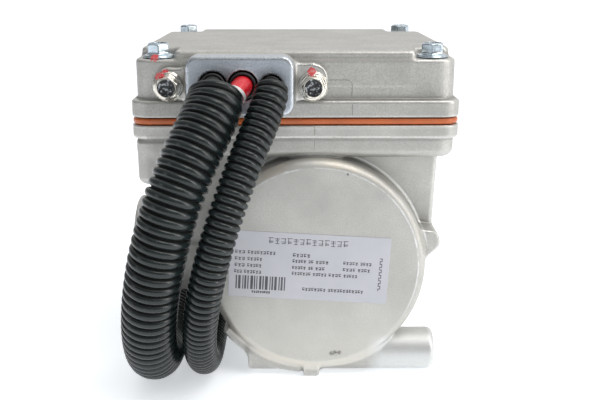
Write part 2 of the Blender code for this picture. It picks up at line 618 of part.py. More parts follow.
def winding(low, high):
    """End turns: a ring swollen once over each stator tooth."""
    bm = tube(30.0, 44.5, low, high, (0, 0, 0), "+Z", 36)
    middle = (low + high) / 2
    for vert in bm.verts:
        angle = math.atan2(vert.co.y, vert.co.x)
        swell = 1.0 - 0.035 * (1 + math.cos(SLOTS * angle)) * (vert.co.xy.length > 40)
        vert.co.x *= swell
        vert.co.y *= swell
        vert.co.z = middle + (vert.co.z - middle) * (1 - 0.06 * (1 + math.cos(SLOTS * angle)))
    bm.transform(Matrix.Translation((SHAFT_X, 0, SHAFT_Z)) @ TURN_TO["+Y"])
    return bm


def half_ring(inner, outer, low, high, start):
    """Half-round balance weight; start is the angle at which it begins."""
    angles = [start + 180 * k / 14 for k in range(15)]
    return prism_y([polar(outer, a) for a in angles] + [polar(inner, a) for a in reversed(angles)],
                   low, high)


def add_stator(root):
    axis = (SHAFT_X, 0, SHAFT_Z)
    low, high = CORE_Y
    core = cut(cylinder(BORE_R - GAP, low, high, axis, segments=48),
               prism_y(slot_outline(), low - 1, high + 1))
    add_piece("stator_core", core, "lamination_steel", root)
    add_piece("front_winding", winding(low - 13, low - GAP), "copper", root)
    add_piece("rear_winding", winding(high + GAP, high + 12.5), "copper", root)


def add_rotor(rotor):
    axis = (SHAFT_X, 0, SHAFT_Z)
    low, high = CORE_Y
    shaft = lathe([(0, -72.4), (5, -72.4), (5, -60), (8, -60), (8, 32.4), (7.5, 32.4), (7.5, 45.3),
                   (0, 45.3)], axis, segments=24)
    pin = cylinder(5.0, 44.0, 56.5, (SHAFT_X, 0, SHAFT_Z + ORBIT_R), segments=20)
    add_piece("crankshaft", join(shaft, pin), "steel", rotor)
    add_piece("rotor_core", tube(8.0 + GAP, ROTOR_R, low, high, axis, segments=36),
              "lamination_steel", rotor)
    add_piece("front_balance_weight", half_ring(10, 24, low - 5, low - GAP, 0), "brass", rotor)
    add_piece("rear_balance_weight", half_ring(10, 24, high + GAP, high + 5, 180), "brass", rotor)


def ball_cage(pitch_radius, ball_radius, balls, middle):
    """Cage and its balls as one turning piece."""
    bm = tube(pitch_radius - 0.6, pitch_radius + 0.6, middle - 1.1, middle + 1.1,
              (SHAFT_X, 0, SHAFT_Z), segments=2 * balls)
    for k in range(balls):
        x, z = polar(pitch_radius, 360 * k / balls)
        ball = bmesh.new()
        bmesh.ops.create_uvsphere(ball, u_segments=6, v_segments=4, radius=ball_radius)
        ball.transform(Matrix.Translation((x, middle, z)) @ TURN_TO["+Y"])
        bm = join(bm, ball)
    return bm


def add_bearings(root, rotor, front_cage, main_cage):
    """Two deep-groove ball bearings: outer races in the castings, inner races on the shaft."""
    axis = (SHAFT_X, 0, SHAFT_Z)
    front = (FRONT_BEARING_Y - FRONT_BEARING_HALF, FRONT_BEARING_Y + FRONT_BEARING_HALF)
    main = (MAIN_BEARING_Y - MAIN_BEARING_HALF, MAIN_BEARING_Y + MAIN_BEARING_HALF)
    add_piece("front_bearing_outer", tube(11.2, 12.7, *front, axis, segments=32), "steel", root)
    add_piece("front_bearing_inner", tube(5.3, 6.8, *front, axis, segments=24), "steel", rotor)
    add_piece("front_bearing_cage", ball_cage(*FRONT_BALLS, FRONT_BEARING_Y), "brass", front_cage)
    add_piece("main_bearing_outer", tube(14.9, 17.2, *main, axis, segments=32), "steel", root)
    add_piece("main_bearing_inner", tube(7.8, 9.8, *main, axis, segments=24), "steel", rotor)
    add_piece("main_bearing_cage", ball_cage(*MAIN_BALLS, MAIN_BEARING_Y), "brass", main_cage)


# ---------------------------------------------------------------- scroll set

def add_main_frame(root):
    """Bearing carrier between motor and scrolls, with a recess for the crank and gas holes."""
    axis = (SHAFT_X, 0, SHAFT_Z)
    bm = lathe([(9.5, 30.5), (22, 30.5), (22, 38), (BORE_R - GAP, 38), (BORE_R - GAP, 56), (25, 56),
                (25, 45), (17.5, 45), (17.5, 32.4), (9.5, 32.4)], axis, segments=36)
    tools = []
    for angle in PIN_ANGLES:
        x, z = polar(PIN_PITCH_R, angle)
        tools.append(cylinder(PIN_R + GAP, 47.5, 58, (x, 0, z), segments=8))
        x, z = polar(44.2, angle + 60)
        tools.append(cylinder(2.4, 36, 58, (x, 0, z), segments=8))
    add_piece("main_frame", cut(bm, *tools), "cast_aluminium", root)


def add_thrust_plate(root):
    axis = (SHAFT_X, 0, SHAFT_Z)
    bm = tube(20.0, 40.5, 56.3, 57.5, axis, segments=32)
    holes = [cylinder(PIN_R + GAP, 55, 59, (x, 0, z), segments=8)
             for x, z in (polar(PIN_PITCH_R, a) for a in PIN_ANGLES)]
    add_piece("thrust_plate", cut(bm, *holes), "spring_steel", root)


def involute(start, turn, angle):
    """Point of an involute of the base circle, turned about the shaft, as (x, z)."""
    reach = angle - start
    x = BASE_CIRCLE_R * (math.cos(angle) + reach * math.sin(angle))
    z = BASE_CIRCLE_R * (math.sin(angle) - reach * math.cos(angle))
    return (SHAFT_X + x * math.cos(turn) - z * math.sin(turn),
            SHAFT_Z + x * math.sin(turn) + z * math.cos(turn))


def wrap_outline(turn):
    """Spiral wall of even thickness between two involutes."""
    half = WRAP_T / (2 * BASE_CIRCLE_R)
    count = int((WRAP_END - WRAP_START) / WRAP_STEP)
    angles = [WRAP_START + (WRAP_END - WRAP_START) * k / count for k in range(count + 1)]
    outer = [involute(-half, turn, a) for a in angles]
    inner = [involute(half, turn, a) for a in reversed(angles)]
    return outer + inner


def add_fixed_scroll(root):
    axis = (SHAFT_X, 0, SHAFT_Z)
    outer = BORE_R - GAP
    body = lathe([(0, FIXED_BACK_Y), (outer, FIXED_BACK_Y), (outer, 56.3), (43.7, 56.3),
                  (43.7, WRAP_ROOT_Y + GAP), (40, WRAP_ROOT_Y + GAP), (40, WRAP_TIP_Y),
                  (0, WRAP_TIP_Y)], axis, segments=48)
    bm = join(body, prism_y(wrap_outline(0.0), WRAP_ROOT_Y + GAP, WRAP_TIP_Y + 1))
    inlets = []
    for angle in PIN_ANGLES:
        inlet = box((38, 55, -6), (50, 72, 6))
        turn = Matrix.Rotation(math.radians(-angle - 60), 4, "Y")
        inlet.transform(Matrix.Translation(axis) @ turn)
        inlets.append(inlet)
    outlet = cylinder(3.2, 70, 90, axis, segments=16)
    thread = cylinder(2.0, 80.5, 90, (SHAFT_X, 0, 84.5), segments=10)
    add_piece("fixed_scroll", cut(bm, *inlets, outlet, thread), "cast_aluminium", root)


def add_orbiting_scroll(orbit):
    """Orbiting scroll, its bearing and its guide rings; all sit one orbit radius above the shaft."""
    lift = Matrix.Translation((0, 0, ORBIT_R))
    axis = (SHAFT_X, 0, SHAFT_Z)
    body = lathe([(0, WRAP_ROOT_Y), (40.5, WRAP_ROOT_Y), (40.5, ORBIT_BASE_Y), (15, ORBIT_BASE_Y),
                  (15, 49.0), (11.5, 49.0), (11.5, ORBIT_BASE_Y), (0, ORBIT_BASE_Y)], axis, segments=48)
    bm = join(body, prism_y(wrap_outline(math.pi), WRAP_ROOT_Y - 1, WRAP_TIP_Y - GAP))
    places = [polar(PIN_PITCH_R, angle) for angle in PIN_ANGLES]
    bm = cut(bm, *[cylinder(7.0, 55, 62.3, (x, 0, z), segments=16) for x, z in places])
    bm.transform(lift)
    add_piece("orbiting_scroll", bm, "hard_alloy", orbit)
    for k, (x, z) in enumerate(places):
        ring = tube(5.1, 6.7, ORBIT_BASE_Y + 0.1, 62.0, (x, 0, z + ORBIT_R), segments=20)
        add_piece(f"anti_rotation_ring_{k + 1}", ring, "steel", orbit)
    bearing = tube(8.8, 11.2, 49.3, 57.2, (SHAFT_X, 0, SHAFT_Z + ORBIT_R), segments=32)
    add_piece("drive_bearing", bearing, "brass", orbit)


def add_drive_bush(rotor):
    """Bush on the crank pin with the counterweight that balances the orbiting scroll."""
    axis = (SHAFT_X, 0, SHAFT_Z + ORBIT_R)
    bm = join(cylinder(8.5, 45.6, 57.2, axis, segments=24), half_ring(5, 23.5, 45.6, 48.6, 180))
    bore = cylinder(5.0 + GAP, 40, 60, axis, segments=20)
    add_piece("drive_bush", cut(bm, bore), "steel", rotor)


def add_anti_rotation_pins(root):
    for k, angle in enumerate(PIN_ANGLES):
        x, z = polar(PIN_PITCH_R, angle)
        add_piece(f"anti_rotation_pin_{k + 1}", cylinder(PIN_R, 48.0, 61.7, (x, 0, z), segments=8),
                  "steel", root)


# ---------------------------------------------------------------- discharge valve

def leaf_x(width, outline, low_x):
    """Extrusion along X of an outline given as (y, z) points."""
    bm = loft([(outline, 0.0), (outline, width)])
    swap = Matrix(((0, 0, 1, low_x), (1, 0, 0, 0), (0, 1, 0, 0), (0, 0, 0, 1)))
    bm.transform(swap)
    return bm


def add_discharge_valve(root, reed):
    back = FIXED_BACK_Y + GAP
    leaf = box((SHAFT_X - 4.5, back, 54.5), (SHAFT_X + 4.5, back + REED_T, REED_CLAMP_Z))
    add_piece("discharge_reed", leaf, "spring_steel", reed)
    stop = leaf_x(9.0, [(back, 88.5), (back, 80.4), (back + 1.1, 80.0), (back + 4.6, 55.0),
                        (back + 6.6, 55.0), (back + 2.4, 81.0), (back + 2.4, 88.5)], SHAFT_X - 4.5)
    stop = cut(stop, cylinder(2.0, 80, 95, (SHAFT_X, 0, 84.5), segments=10))
    add_piece("reed_stop", stop, "steel", root)
    screw = lathe([(0, 81.0), (1.7, 81.0), (1.7, back + 2.7), (3.2, back + 2.7), (3.2, back + 5),
                   (2.4, back + 5.6), (0, back + 5.6)], (SHAFT_X, 0, 84.5), segments=12)
    add_piece("reed_screw", screw, "steel", root)


# ---------------------------------------------------------------- conduits and connectors

def smooth_points(route, spacing):
    """Evenly spaced points on a smooth curve through the route's own points."""
    points = [Vector(p) for p in route]
    ends = [points[0] * 2 - points[1]] + points + [points[-1] * 2 - points[-2]]
    fine = []
    for before, start, end, after in zip(ends, ends[1:], ends[2:], ends[3:]):
        fine += interpolate_bezier(start, start + (end - before) / 6, end - (after - start) / 6, end, 12)
    reach = [0.0]
    for a, b in zip(fine, fine[1:]):
        reach.append(reach[-1] + (b - a).length)
    count = max(2, round(reach[-1] / spacing))
    picked, k = [], 0
    for step in range(count + 1):
        want = reach[-1] * step / count
        while k < len(reach) - 2 and reach[k + 1] < want:
            k += 1
        span = max(reach[k + 1] - reach[k], 1e-9)
        picked.append(fine[k].lerp(fine[k + 1], (want - reach[k]) / span))
    return picked


def add_tube_curve(name, points, radius, mat, resolution, parent):
    curve = bpy.data.curves.new(name, "CURVE")
    curve.dimensions = "3D"
    curve.bevel_depth = radius * MM
    curve.bevel_resolution = resolution
    curve.use_fill_caps = True
    spline = curve.splines.new("POLY")
    spline.points.add(len(points) - 1)
    place = Vector(parent["place"])
    for target, point in zip(spline.points, points):
        target.co = (*((Vector(point) - place) * MM), 1.0)
    curve.materials.append(make_material(mat))
    obj = bpy.data.objects.new(name, curve)
    bpy.context.scene.collection.objects.link(obj)
    obj.parent = parent


def connector(place, length, half_y, half_z):
    """Plug body on the end of a conduit, lying on its side, with a latch and a socket rim."""
    x, y = place
    centre = (y, half_z + PLUG_LIFT)
    sections = [
        (rounded_rectangle(half_y * 0.7, half_z * 0.7, half_z * 0.5, centre, 3), 0.0),
        (rounded_rectangle(half_y * 0.7, half_z * 0.7, half_z * 0.5, centre, 3), length * 0.25),
        (rounded_rectangle(half_y, half_z, 3.0, centre, 3), length * 0.32),
        (rounded_rectangle(half_y, half_z, 3.0, centre, 3), length)]
    bm = loft(sections)
    bm.transform(Matrix(((0, 0, 1, x), (1, 0, 0, 0), (0, 1, 0, 0), (0, 0, 0, 1))))
    latch = box((x + length * 0.45, y - half_y * 0.3, half_z * 2 - 1.0),
                (x + length * 0.8, y + half_y * 0.3, half_z * 2 + 2.4))
    socket = box((x + length * 0.55, y - half_y + 2.2, 2.6),
                 (x + length + 2, y + half_y - 2.2, half_z * 2 - 2.0))
    return cut(join(bm, latch), socket)


def add_conduits(root):
    add_tube_curve("hv_conduit", smooth_points(HV_ROUTE, 1.3 * 2 * HV_R), HV_R, "conduit_plastic", 4,
                   root)
    add_tube_curve("lv_conduit", smooth_points(LV_ROUTE, 1.5 * 2 * LV_R), LV_R, "conduit_plastic", 3,
                   root)
    x, y, _ = HV_ROUTE[-1]
    add_piece("hv_connector", connector((x + GAP, y), *HV_PLUG), "orange_plastic", root)
    x, y, _ = LV_ROUTE[-1]
    add_piece("lv_connector", connector((x + GAP, y), *LV_PLUG), "dark_plastic", root)


def main():
    clear_scene()
    root = make_empty("compressor", (0.0, 0.0, 0.0))
    rotor = make_empty("rotor_axis", (SHAFT_X, 0.0, SHAFT_Z), root)
    front_cage = make_empty("front_cage_axis", (SHAFT_X, FRONT_BEARING_Y, SHAFT_Z), root)
    main_cage = make_empty("main_cage_axis", (SHAFT_X, MAIN_BEARING_Y, SHAFT_Z), root)
    orbit = make_empty("orbit_axis", (SHAFT_X, ORBIT_JOINT_Y, SHAFT_Z + ORBIT_R), rotor)
    reed = make_empty("reed_axis", (SHAFT_X, FIXED_BACK_Y + GAP + REED_T / 2, REED_CLAMP_Z), root)
    add_motor_housing(root)
    add_rear_cover(root)
    add_rear_gasket(root)
    add_inverter_cover(root)
    add_cover_gasket(root)
    add_cable_block(root)
    add_bolts(root)
    add_cable_outlets(root)
    add_red_sleeve(root)
    add_label(root)
    add_electronics(root)
    add_stator(root)
    add_rotor(rotor)
    add_bearings(root, rotor, front_cage, main_cage)
    add_main_frame(root)
    add_thrust_plate(root)
    add_drive_bush(rotor)
    add_fixed_scroll(root)
    add_orbiting_scroll(orbit)
    add_anti_rotation_pins(root)
    add_discharge_valve(root, reed)
    add_conduits(root)


main()
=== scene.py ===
"""Looks of the electric scroll compressor.

Each casting is rebuilt as the zero level of a distance function, so that its edges and inner
corners are rounded as a casting's are. Lengths are millimetres in the design's own frame, whose
origin ORIGIN moves to the row's frame; the mesh makers turn them into metres.
"""

import json
import math

import bpy
import numpy as np
from mathutils import Matrix, Vector
from mathutils.geometry import interpolate_bezier


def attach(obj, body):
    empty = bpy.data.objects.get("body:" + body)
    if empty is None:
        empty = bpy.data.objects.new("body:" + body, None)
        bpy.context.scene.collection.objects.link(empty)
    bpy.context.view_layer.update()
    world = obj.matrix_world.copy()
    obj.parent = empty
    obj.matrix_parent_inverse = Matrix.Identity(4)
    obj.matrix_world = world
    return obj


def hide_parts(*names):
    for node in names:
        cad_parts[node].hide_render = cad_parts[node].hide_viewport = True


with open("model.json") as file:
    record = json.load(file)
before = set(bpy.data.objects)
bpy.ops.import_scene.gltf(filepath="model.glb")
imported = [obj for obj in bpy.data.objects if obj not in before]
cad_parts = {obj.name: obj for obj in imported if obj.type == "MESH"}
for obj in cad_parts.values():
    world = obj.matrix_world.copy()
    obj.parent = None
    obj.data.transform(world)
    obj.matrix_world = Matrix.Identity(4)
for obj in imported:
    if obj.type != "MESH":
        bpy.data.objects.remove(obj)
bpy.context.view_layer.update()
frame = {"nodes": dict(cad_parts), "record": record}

MM = 0.001
ORIGIN = np.array((4.0, -15.75, 0.0))

# Room brightness: in front of the object, behind it, what the ceiling adds; and the left's share of it
FRONT_DIM, BACK_BRIGHT, TOP_EXTRA = 0.12, 0.84, 0.36
LEFT_SHADE = 0.3
WHITE_BEHIND = 1.15            # what the camera sees past the floor

# A pit, drawn as a spot of painted shade, and an oil mark on the drum's face: (place, radius, colour)
MARKS = [((25.2, -78.5, 107.8), 0.9, (0.03, 0.03, 0.03)), ((17.9, -78.5, 13.4), 1.6, (0.13, 0.12, 0.10)),
         ((19.9, -78.5, 13.6), 1.9, (0.10, 0.09, 0.08)), ((22.0, -78.5, 13.8), 1.5, (0.14, 0.12, 0.10))]
# Colour of the drum's turned edge, partly metal rubbed bright and partly painted highlight, and of the
# painted highlight where the drum meets the neck
RUBBED_EDGE_AND_HIGHLIGHT = (0.8, 0.81, 0.8)

# The design's own sizes, as the CAD has them
SHAFT_X, SHAFT_Z = 10.0, 60.0
EAR_PITCH_R, EAR_ANGLES = 60.5, (30, 90, 150, 210, 330)
BOX_X, BOX_Y, BOX_CORNER = 79.2, 76.5, 8.5
WALL_X, WALL_Y, WALL_CORNER = 77.0, 72.5, 9.0
TRAY_X = 77.9
PAD_Z, LID_TOP_Z = 162.4, 166.5
COVER_BOLTS = [(-66.0, -63.7), (66.0, -63.7), (66.0, 63.7), (-66.0, 63.7)]
BLOCK_BOLT_X, BLOCK_BOLT_Z, EAR_FRONT_Y = (-60.0, 8.0), 150.5, -78.3
BLOCK_EAR_R, BLOCK_EAR_Z = 7.3, (151.6, 153.8)
CABLE_HOLES, CABLE_Z = [(-38.4, 6.0), (-24.6, 6.4), (-11.3, 4.6)], 151.8
BLOCK_FRONT_Y = -86.5
HV_R, LV_R = 13.0, 8.1
HV_PITCH, LV_PITCH = 4.23, 3.47
BLOCK_BOLT_FLANGE_R = 6.6
CURVE_REACH = 0.9              # how far apart the samples are that tell an edge from an inner corner

HV_ROUTE = [
    (-36.0, -97.5, 150.0), (-36.8, -102.1, 144.8), (-39.5, -107.3, 138.2), (-43.7, -113.2, 129.6),
    (-48.0, -118.1, 120.4), (-52.0, -121.8, 111.0), (-55.5, -123.8, 101.1), (-59.2, -124.4, 89.1),
    (-62.4, -123.3, 76.7), (-65.4, -120.0, 62.7), (-67.4, -115.6, 51.4), (-69.1, -109.4, 40.0),
    (-70.1, -102.0, 29.8), (-70.6, -92.6, 21.2), (-70.6, -81.0, 15.4), (-70.4, -68.0, 13.3),
    (-70.0, -52.0, 13.1), (-70.0, -25.0, 13.1), (-70.0, 5.0, 13.1), (-70.0, 35.0, 13.1),
    (-70.0, 65.0, 13.1), (-69.4, 93.0, 13.1), (-65.4, 120.0, 13.1), (-54.0, 142.6, 13.1),
    (-34.6, 157.0, 13.1), (-10.0, 162.4, 13.3), (15.0, 163.0, 14.0), (38.0, 163.0, 14.3),
]
LV_ROUTE = [
    (-11.0, -94.0, 152.6), (-11.5, -97.3, 148.6), (-13.4, -101.2, 143.0), (-16.4, -106.1, 135.8),
    (-20.1, -111.7, 127.6), (-24.1, -116.8, 118.3), (-28.1, -121.1, 108.0), (-32.1, -124.4, 96.7),
    (-35.7, -125.9, 85.4), (-38.8, -125.4, 73.7), (-41.4, -122.8, 62.5), (-43.4, -118.6, 51.8),
    (-45.0, -112.7, 41.2), (-46.0, -105.2, 31.0), (-46.4, -96.2, 21.8), (-46.4, -85.2, 14.2),
    (-46.3, -73.0, 9.8), (-46.1, -60.0, 8.3), (-46.0, -35.0, 8.2), (-46.0, -5.0, 8.2),
    (-46.0, 25.0, 8.2), (-46.0, 55.0, 8.2), (-45.6, 83.0, 8.2), (-42.2, 105.0, 8.2),
    (-32.4, 121.0, 8.2), (-15.4, 130.2, 8.4), (6.0, 133.0, 9.1), (26.0, 133.2, 9.3),
]
SLEEVE_ROUTE = [(-24.6, -75, 151.8), (-24.6, -85.0, 151.8), (-25.3, -89.4, 151.2), (-27.2, -93.2, 149.0),
                (-29.8, -96.6, 145.8), (-32.4, -99.6, 142.4)]

# Generic print on the label: (left end, height, lengths of the words, height of the signs)
PRINT_LINES = [(-20.8, 13.0, (40.0,), 2.9), (-37.2, 6.4, (5.4, 14.0), 1.5), (-37.2, 2.9, (5.4, 7.6), 1.5),
               (-37.2, -0.5, (5.4, 7.4), 1.5), (-37.2, -3.9, (4.0, 8.8), 1.5), (-8.5, 6.0, (9.0,), 1.6),
               (-8.5, 2.9, (7.0, 2.8, 6.6), 1.4), (-8.5, -0.5, (7.0, 2.8, 5.0), 1.4),
               (-8.5, -3.6, (9.6, 7.0, 6.6, 7.0), 1.4), (16.8, 3.1, (7.6, 5.8), 1.4),
               (16.8, -0.3, (6.6, 6.4), 1.4), (-2.8, -11.7, (12.0, 18.0), 1.4), (-28.0, -14.4, (9.3,), 1.0)]
STRIPES = (0.7, 1.2, 0.5, 0.9, 0.6, 1.3, 0.6, 0.5, 1.1, 0.7, 1.4, 0.5, 0.8, 1.2, 0.6, 1.0, 0.6)


# ---------------------------------------------------------------- camera

def add_camera():
    data = bpy.data.cameras.new("camera")
    data.lens = 51.0
    data.sensor_width = 36.0
    data.clip_start = 0.01
    camera = bpy.data.objects.new("camera", data)
    camera.location = (0.0017, -0.49375, 0.205)
    camera.rotation_euler = (math.radians(74.61), 0.0, math.radians(-0.607))
    bpy.context.scene.collection.objects.link(camera)
    bpy.context.scene.camera = camera


# ---------------------------------------------------------------- materials

class Wiring:
    """Nodes of one tree, made and linked."""

    def __init__(self, tree, coordinates):
        self.tree = tree
        self.place = self.make("TexCoord").outputs[coordinates]

    def make(self, kind, **values):
        """New node with numbers, colours or links on the inputs of the same name."""
        node = self.tree.nodes.new("ShaderNode" + kind)
        self.fill(node, **values)
        return node

    def fill(self, node, **values):
        for key, value in values.items():
            self.feed(node.inputs[key.replace("_", " ")], value)

    def feed(self, socket, value):
        if isinstance(value, bpy.types.NodeSocket):
            self.tree.links.new(value, socket)
        elif isinstance(value, tuple) and len(value) < len(socket.default_value):
            socket.default_value = (*value, 1.0)
        else:
            socket.default_value = value

    def axes(self):
        return tuple(self.make("SeparateXYZ", Vector=self.place).outputs)

    def ramp(self, value, low, high, start=0.0, end=1.0, shape="LINEAR"):
        """Map value from low..high to start..end."""
        node = self.make("MapRange", Value=value, From_Min=low, From_Max=high, To_Min=start, To_Max=end)
        node.interpolation_type = shape
        return node.outputs["Result"]

    def over(self, value, low, high, start=0.0, end=1.0):
        """Ramp between two places given in millimetres."""
        return self.ramp(value, low * MM, high * MM, start, end)

    def math(self, operation, first, second=0.0):
        node = self.make("Math")
        node.operation = operation
        self.feed(node.inputs[0], first)
        self.feed(node.inputs[1], second)
        return node.outputs["Value"]

    def times(self, product, *values):
        for value in values:
            product = self.math("MULTIPLY", product, value)
        return product

    def hypot(self, first, second):
        return self.math("SQRT", self.math("ADD", self.times(first, first), self.times(second, second)))


class Nodes(Wiring):
    """A Principled material being wired up."""

    def __init__(self, name, colour, roughness, metallic):
        self.material = bpy.data.materials.new(name)
        self.material.use_nodes = True
        super().__init__(self.material.node_tree, "Object")
        self.shader = self.tree.nodes["Principled BSDF"]
        self.set(Base_Color=colour, Roughness=roughness, Metallic=metallic)

    def set(self, **values):
        self.fill(self.shader, **values)
        return self

    def noise(self, size, detail=3.0, stretch=None, roughness=0.6):
        """Noise whose features are about size millimetres across."""
        source = self.place
        if stretch:
            source = self.make("Mapping", Vector=source, Scale=stretch).outputs["Vector"]
        return self.make("TexNoise", Scale=1000.0 / size, Detail=detail, Roughness=roughness,
                         Vector=source).outputs["Fac"]

    def mix(self, factor, first, second):
        node = self.make("Mix")
        node.data_type = "RGBA"
        self.fill(node, Factor=factor, A=first, B=second)
        return node.outputs["Result"]

    def attribute(self, name):
        """Value stored on the mesh's points."""
        node = self.make("Attribute")
        node.attribute_name = name
        return node.outputs["Fac"]

    def near(self, centre, radius):
        """1 close to a point given in design millimetres, falling to 0 at radius."""
        node = self.make("VectorMath")
        node.operation = "DISTANCE"
        self.feed(node.inputs[0], self.place)
        self.feed(node.inputs[1], tuple((np.array(centre) + ORIGIN) * MM))
        return self.over(node.outputs["Value"], radius, 0.35 * radius)

    def bump(self, height, depth):
        """Bump depth in millimetres."""
        node = self.make("Bump", Distance=depth * MM, Height=height)
        normal = self.shader.inputs["Normal"]
        if normal.is_linked:
            self.fill(node, Normal=normal.links[0].from_socket)
        return self.set(Normal=node.outputs["Normal"])


def scaled(colour, factor):
    return tuple(min(1.0, c * factor) for c in colour)


def drum_face(m, colour, tone, rough):
    """The drum's front: a turned edge, rubbed bright and brighter towards the top as a painted highlight,
    with a warm band outside it, a painted highlight where the drum meets the neck, a painted
    reflection of the floor low down, painted light on the lower right and the front tube's end,
    and a few marks, the pit among them drawn as painted shade.
    """
    x, y, z = m.axes()
    x, z = m.math("SUBTRACT", x, (SHAFT_X + ORIGIN[0]) * MM), m.math("SUBTRACT", z, SHAFT_Z * MM)
    radius = m.hypot(x, z)
    front = m.times(m.over(y, -89.0, -91.0), m.over(radius, 56.8, 55.6))
    warm = m.mix(m.ramp(m.noise(30.0, 3.0), 0.35, 0.62), scaled(colour, 1.25), (0.80, 0.73, 0.62))
    band = m.times(m.over(radius, 50.8, 51.6), front, m.over(x, 34.0, 8.0, 0.12, 1.0), 0.7)
    tone = m.mix(band, tone, warm)
    # The turned edge: metal rubbed bright, broken by noise, and brighter towards the top as a painted
    # highlight.
    edge = m.times(m.over(radius, 50.5, 50.9), m.over(radius, 51.6, 51.2), front,
                   m.ramp(m.noise(7.0, 5.0), 0.4, 0.56, 0.1, 0.9), m.over(z, -32.0, 6.0, 0.2, 1.0))
    # Painted highlight on the fillet where the drum meets the neck, on its upper part.
    root = m.times(m.over(radius, 55.8, 56.3), m.over(radius, 57.2, 56.7), m.over(y, -75.0, -76.0),
                   m.over(z, 8.0, 16.0, 0.0, 0.8))
    tone = m.mix(root, m.mix(edge, tone, RUBBED_EDGE_AND_HIGHLIGHT), RUBBED_EDGE_AND_HIGHLIGHT)
    # Painted reflection of the floor: the face grows paler and warmer towards the bottom.
    tone = m.mix(m.times(m.over(z, -8.0, -44.0, 0.0, 0.5), front), tone, (0.70, 0.68, 0.63))
    # Painted light: paler metal on the lower right, over the face's corner and the front tube's end.
    painted_light_low_right = m.times(m.over(z, -36.0, -40.0, 0.0, 0.6), m.over(x, 26.0, 34.0), m.over(y, -60.0, -66.0))
    tone = m.mix(painted_light_low_right, tone, (0.76, 0.775, 0.775))
    for place, size, shade in MARKS:
        spot = m.times(m.near(place, size), m.ramp(m.noise(1.5, 4.0), 0.35, 0.55, 0.15, 0.8))
        tone = m.mix(spot, tone, shade)
    return tone, m.math("SUBTRACT", rough, m.times(edge, 0.22))


def cast_metal(name, colour, grain=0.62, depth=0.05, roughness=0.5, metallic=0.75, face=False,
               sparkle=0.28, rub_and_highlight=0.45, behind=None):
    """Blasted casting: sparkle of grains, soft blotches, edges rubbed bright with a painted highlight,
    inner corners in painted shade.

    With face, the drum's front is drawn as well, painted highlights and painted light included.
    Behind is the shade of what lies further back than the cable block's ears.
    """
    m = Nodes(name, colour, roughness, metallic)
    fine, blotch = m.noise(grain, 2.0), m.noise(24.0, 4.0)
    tone = m.mix(m.ramp(blotch, 0.32, 0.68), scaled(colour, 0.86), scaled(colour, 1.1))
    grains = m.mix(m.ramp(blotch, 0.3, 0.7), scaled(colour, 1.0 - sparkle), scaled(colour, 1.1 - sparkle))
    tone = m.mix(m.ramp(fine, 0.32, 0.66), grains, tone)
    stain = m.ramp(m.noise(9.0, 5.0, roughness=0.75), 0.64, 0.8, 0.0, 0.4)
    tone = m.mix(stain, tone, scaled(colour, 0.6))
    # Paler convex edges: partly metal rubbed bright, partly painted highlight.
    worn_and_highlight = m.times(m.attribute("worn_and_highlight"), m.ramp(m.noise(1.8, 4.0), 0.3, 0.6, 0.35, 1.0))
    # Painted shade: inner corners darkened.
    tone = m.mix(m.times(m.attribute("corner_shade"), 0.6), tone, scaled(colour, 0.45))
    tone = m.mix(m.times(worn_and_highlight, rub_and_highlight), tone, (0.74, 0.735, 0.70))
    rough = m.ramp(fine, 0.3, 0.7, roughness + 0.1, roughness - 0.08)
    rough = m.math("SUBTRACT", rough, m.times(worn_and_highlight, 0.2))
    if face:
        tone, rough = drum_face(m, colour, tone, rough)
    if behind:
        back_y = EAR_FRONT_Y - 0.6 + ORIGIN[1]
        tone = m.mix(m.times(m.over(m.axes()[1], back_y - 2.0, back_y), 0.75), tone, behind)
    m.set(Base_Color=tone, Roughness=rough).bump(m.noise(3.2, 3.0), depth * 1.6)
    return m.bump(fine, depth).material


def moulded(name, colour, roughness=0.45, grain=0.5, depth=0.02, variation=0.25, **values):
    """Moulded or extruded plastic and rubber: faint mottling, fine matt grain."""
    m = Nodes(name, colour, roughness, 0.0).set(**values)
    fine, large = m.noise(grain, 3.0), m.noise(14.0, 4.0)
    tone = m.mix(m.ramp(large, 0.3, 0.7), scaled(colour, 1.0 - variation), scaled(colour, 1.0 + variation))
    rough = m.ramp(m.times(fine, large), 0.12, 0.38, roughness + 0.12, roughness - 0.08)
    return m.set(Base_Color=tone, Roughness=rough).bump(fine, depth).material


def machined(name, colour, roughness=0.28, stretch=(1.0, 14.0, 14.0), size=6.0, depth=0.006,
             metallic=1.0):
    """Turned, ground or drawn metal: long fine scratches and a little tarnish."""
    m = Nodes(name, colour, roughness, metallic)
    lines, large = m.noise(size, 4.0, stretch), m.noise(7.0, 3.0)
    tone = m.mix(m.ramp(large, 0.3, 0.7), scaled(colour, 0.82), scaled(colour, 1.1))
    rough = m.ramp(lines, 0.3, 0.7, roughness - 0.08, roughness + 0.14)
    return m.set(Base_Color=tone, Roughness=rough).bump(lines, depth).material


def bolt_metal(name, colour, dish_shade):
    """Zinc plate; the dish in the head is painted dark as shade, with brighter marks in it."""
    m = Nodes(name, colour, 0.24, 1.0)
    x, y, z = m.axes()
    inside = m.times(m.over(m.hypot(x, y), 4.3, 4.0), m.over(z, 5.2, 5.6))
    large, fine = m.noise(2.6, 4.0), m.noise(0.5, 3.0)
    plate = m.mix(m.ramp(large, 0.3, 0.72), scaled(colour, 0.75), scaled(colour, 1.15))
    # Painted shade in the head's dish, broken by brighter marks.
    floor = m.mix(m.ramp(m.noise(1.3, 1.0), 0.53, 0.6), scaled(dish_shade, 0.35), scaled(dish_shade, 2.6))
    rough = m.math("ADD", m.ramp(large, 0.3, 0.7, 0.13, 0.27), m.times(inside, 0.2))
    return m.set(Base_Color=m.mix(inside, plate, floor), Roughness=rough).bump(fine, 0.012).material


